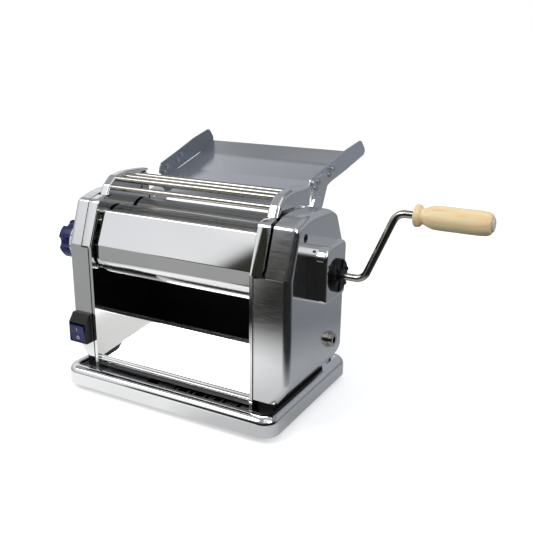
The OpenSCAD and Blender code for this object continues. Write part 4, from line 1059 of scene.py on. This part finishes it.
def add_floor():
    """White floor with the machine's shadow; away from the machine, metal sees it run into the dim room."""
    bpy.ops.object.select_all(action="DESELECT")
    bpy.ops.mesh.primitive_plane_add(size=8, location=(0, 0, 0))
    floor = bpy.context.object
    floor.name = "floor"
    material, tree, shader, where = new_material("floor_white")
    shader.inputs["Roughness"].default_value = 0.9
    shader.inputs["Specular IOR Level"].default_value = 0.0
    light_path = add_node(tree, "LightPath")
    seen = light_path.outputs["Is Camera Ray"]
    apart, parts = from_centre(tree, where, FLOOR_CENTRE)
    distance = add_node(tree, "VectorMath", operation="LENGTH")
    tree.links.new(apart, distance.inputs[0])
    far = to_range(tree, distance.outputs["Value"], *FLOOR_EDGE, 0, 1)
    way = way_round(tree, parts)
    room = mix_colors(tree, far, ring_ramp(tree, way, NEAR_FLOOR), ring_ramp(tree, way, FAR_FLOOR))
    tree.links.new(mix_colors(tree, seen, room, (0.80, 0.80, 0.80)), shader.inputs["Base Color"])
    glow = add_node(tree, "Emission")
    tree.links.new(mix_colors(tree, seen, room, (1, 1, 1)), glow.inputs["Color"])
    shine = math_node(tree, "ADD", math_node(tree, "MULTIPLY", seen, FLOOR_GLOW),
                      math_node(tree, "MULTIPLY", light_path.outputs["Is Glossy Ray"], FLOOR_SHINE))
    tree.links.new(shine, glow.inputs["Strength"])
    both = add_node(tree, "AddShader")
    tree.links.new(shader.outputs["BSDF"], both.inputs[0])
    tree.links.new(glow.outputs["Emission"], both.inputs[1])
    tree.links.new(both.outputs["Shader"], tree.nodes["Material Output"].inputs["Surface"])
    floor.data.materials.append(material)


def add_studio_dome():
    """The room behind the lamps, as metal sees it: dark by the camera, a white board front left."""
    bpy.ops.object.select_all(action="DESELECT")
    bpy.ops.mesh.primitive_uv_sphere_add(segments=96, ring_count=48, radius=DOME_RADIUS,
                                         location=DOME_CENTRE)
    dome = bpy.context.object
    dome.name = "studio_dome"
    bpy.ops.object.transform_apply(location=True, rotation=True, scale=True)
    material, tree, shader, where = new_material("studio_grey")
    _, parts = from_centre(tree, where, DOME_CENTRE)
    height = math_node(tree, "DIVIDE", parts.outputs["Z"], DOME_RADIUS)
    lean = to_range(tree, height, *LEAN_HEIGHTS, *LEAN_SHARES)
    way = way_round(tree, parts)
    dusk = add_node(tree, "VectorMath", operation="SCALE")
    tree.links.new(ring_ramp(tree, way_round(tree, parts, lean), LOW_WALL), dusk.inputs[0])
    tree.links.new(to_range(tree, height, *DUSK_HEIGHTS, DUSK, 1.0), dusk.inputs["Scale"])
    tone = dusk.outputs["Vector"]
    for step, ring in ((WALL_STEP, HIGH_WALL), (TOP_STEP, TOP_WALL), (CEILING_STEP, CEILING)):
        tone = mix_colors(tree, to_range(tree, height, *step, 0, 1), tone, ring_ramp(tree, way, ring))
    glow = add_node(tree, "Emission")
    tree.links.new(tone, glow.inputs["Color"])
    tree.links.new(glow.outputs["Emission"], tree.nodes["Material Output"].inputs["Surface"])
    material.cycles.emission_sampling = "NONE"
    dome.data.materials.append(material)
    dome.visible_camera = False
    dome.visible_diffuse = False
    dome.visible_shadow = False


def add_world():
    """White all round; what it lights is a little dimmer than what is seen of it."""
    world = bpy.data.worlds.new("studio")
    bpy.context.scene.world = world
    world.use_nodes = True
    tree = world.node_tree
    link = tree.links.new
    tree.nodes.clear()
    output = add_node(tree, "OutputWorld")
    path = add_node(tree, "LightPath")
    seen = add_node(tree, "Background")
    seen.inputs["Color"].default_value = (1, 1, 1, 1)
    lit = add_node(tree, "Background")
    lit.inputs["Color"].default_value = (0.92, 0.94, 0.97, 1)
    lit.inputs["Strength"].default_value = 0.72
    direct = math_node(tree, "MAXIMUM", path.outputs["Is Camera Ray"],
                       math_node(tree, "MAXIMUM", path.outputs["Is Glossy Ray"],
                                 path.outputs["Is Transmission Ray"]))
    pick_one = add_node(tree, "MixShader")
    link(direct, pick_one.inputs["Fac"])
    link(lit.outputs["Background"], pick_one.inputs[1])
    link(seen.outputs["Background"], pick_one.inputs[2])
    link(pick_one.outputs["Shader"], output.inputs["Surface"])


def add_lamp(name, stand, towards, size, power):
    """A soft lamp at a place, turned towards another."""
    data = bpy.data.lights.new(name, "AREA")
    data.shape = "RECTANGLE"
    data.size, data.size_y = size
    data.energy = power
    lamp = bpy.data.objects.new(name, data)
    bpy.context.scene.collection.objects.link(lamp)
    lamp.location = stand
    lamp.rotation_euler = (Vector(towards) - Vector(stand)).to_track_quat("-Z", "Y").to_euler()


add_floor()
add_studio_dome()
add_world()
MACHINE_MIDDLE = (0, 0, 0.15)
add_lamp("key_light", (-0.9, -1.1, 1.6), MACHINE_MIDDLE, (1.2, 0.9), 14)
add_lamp("fill_light", (1.4, -0.6, 1.2), MACHINE_MIDDLE, (0.8, 0.8), 5)
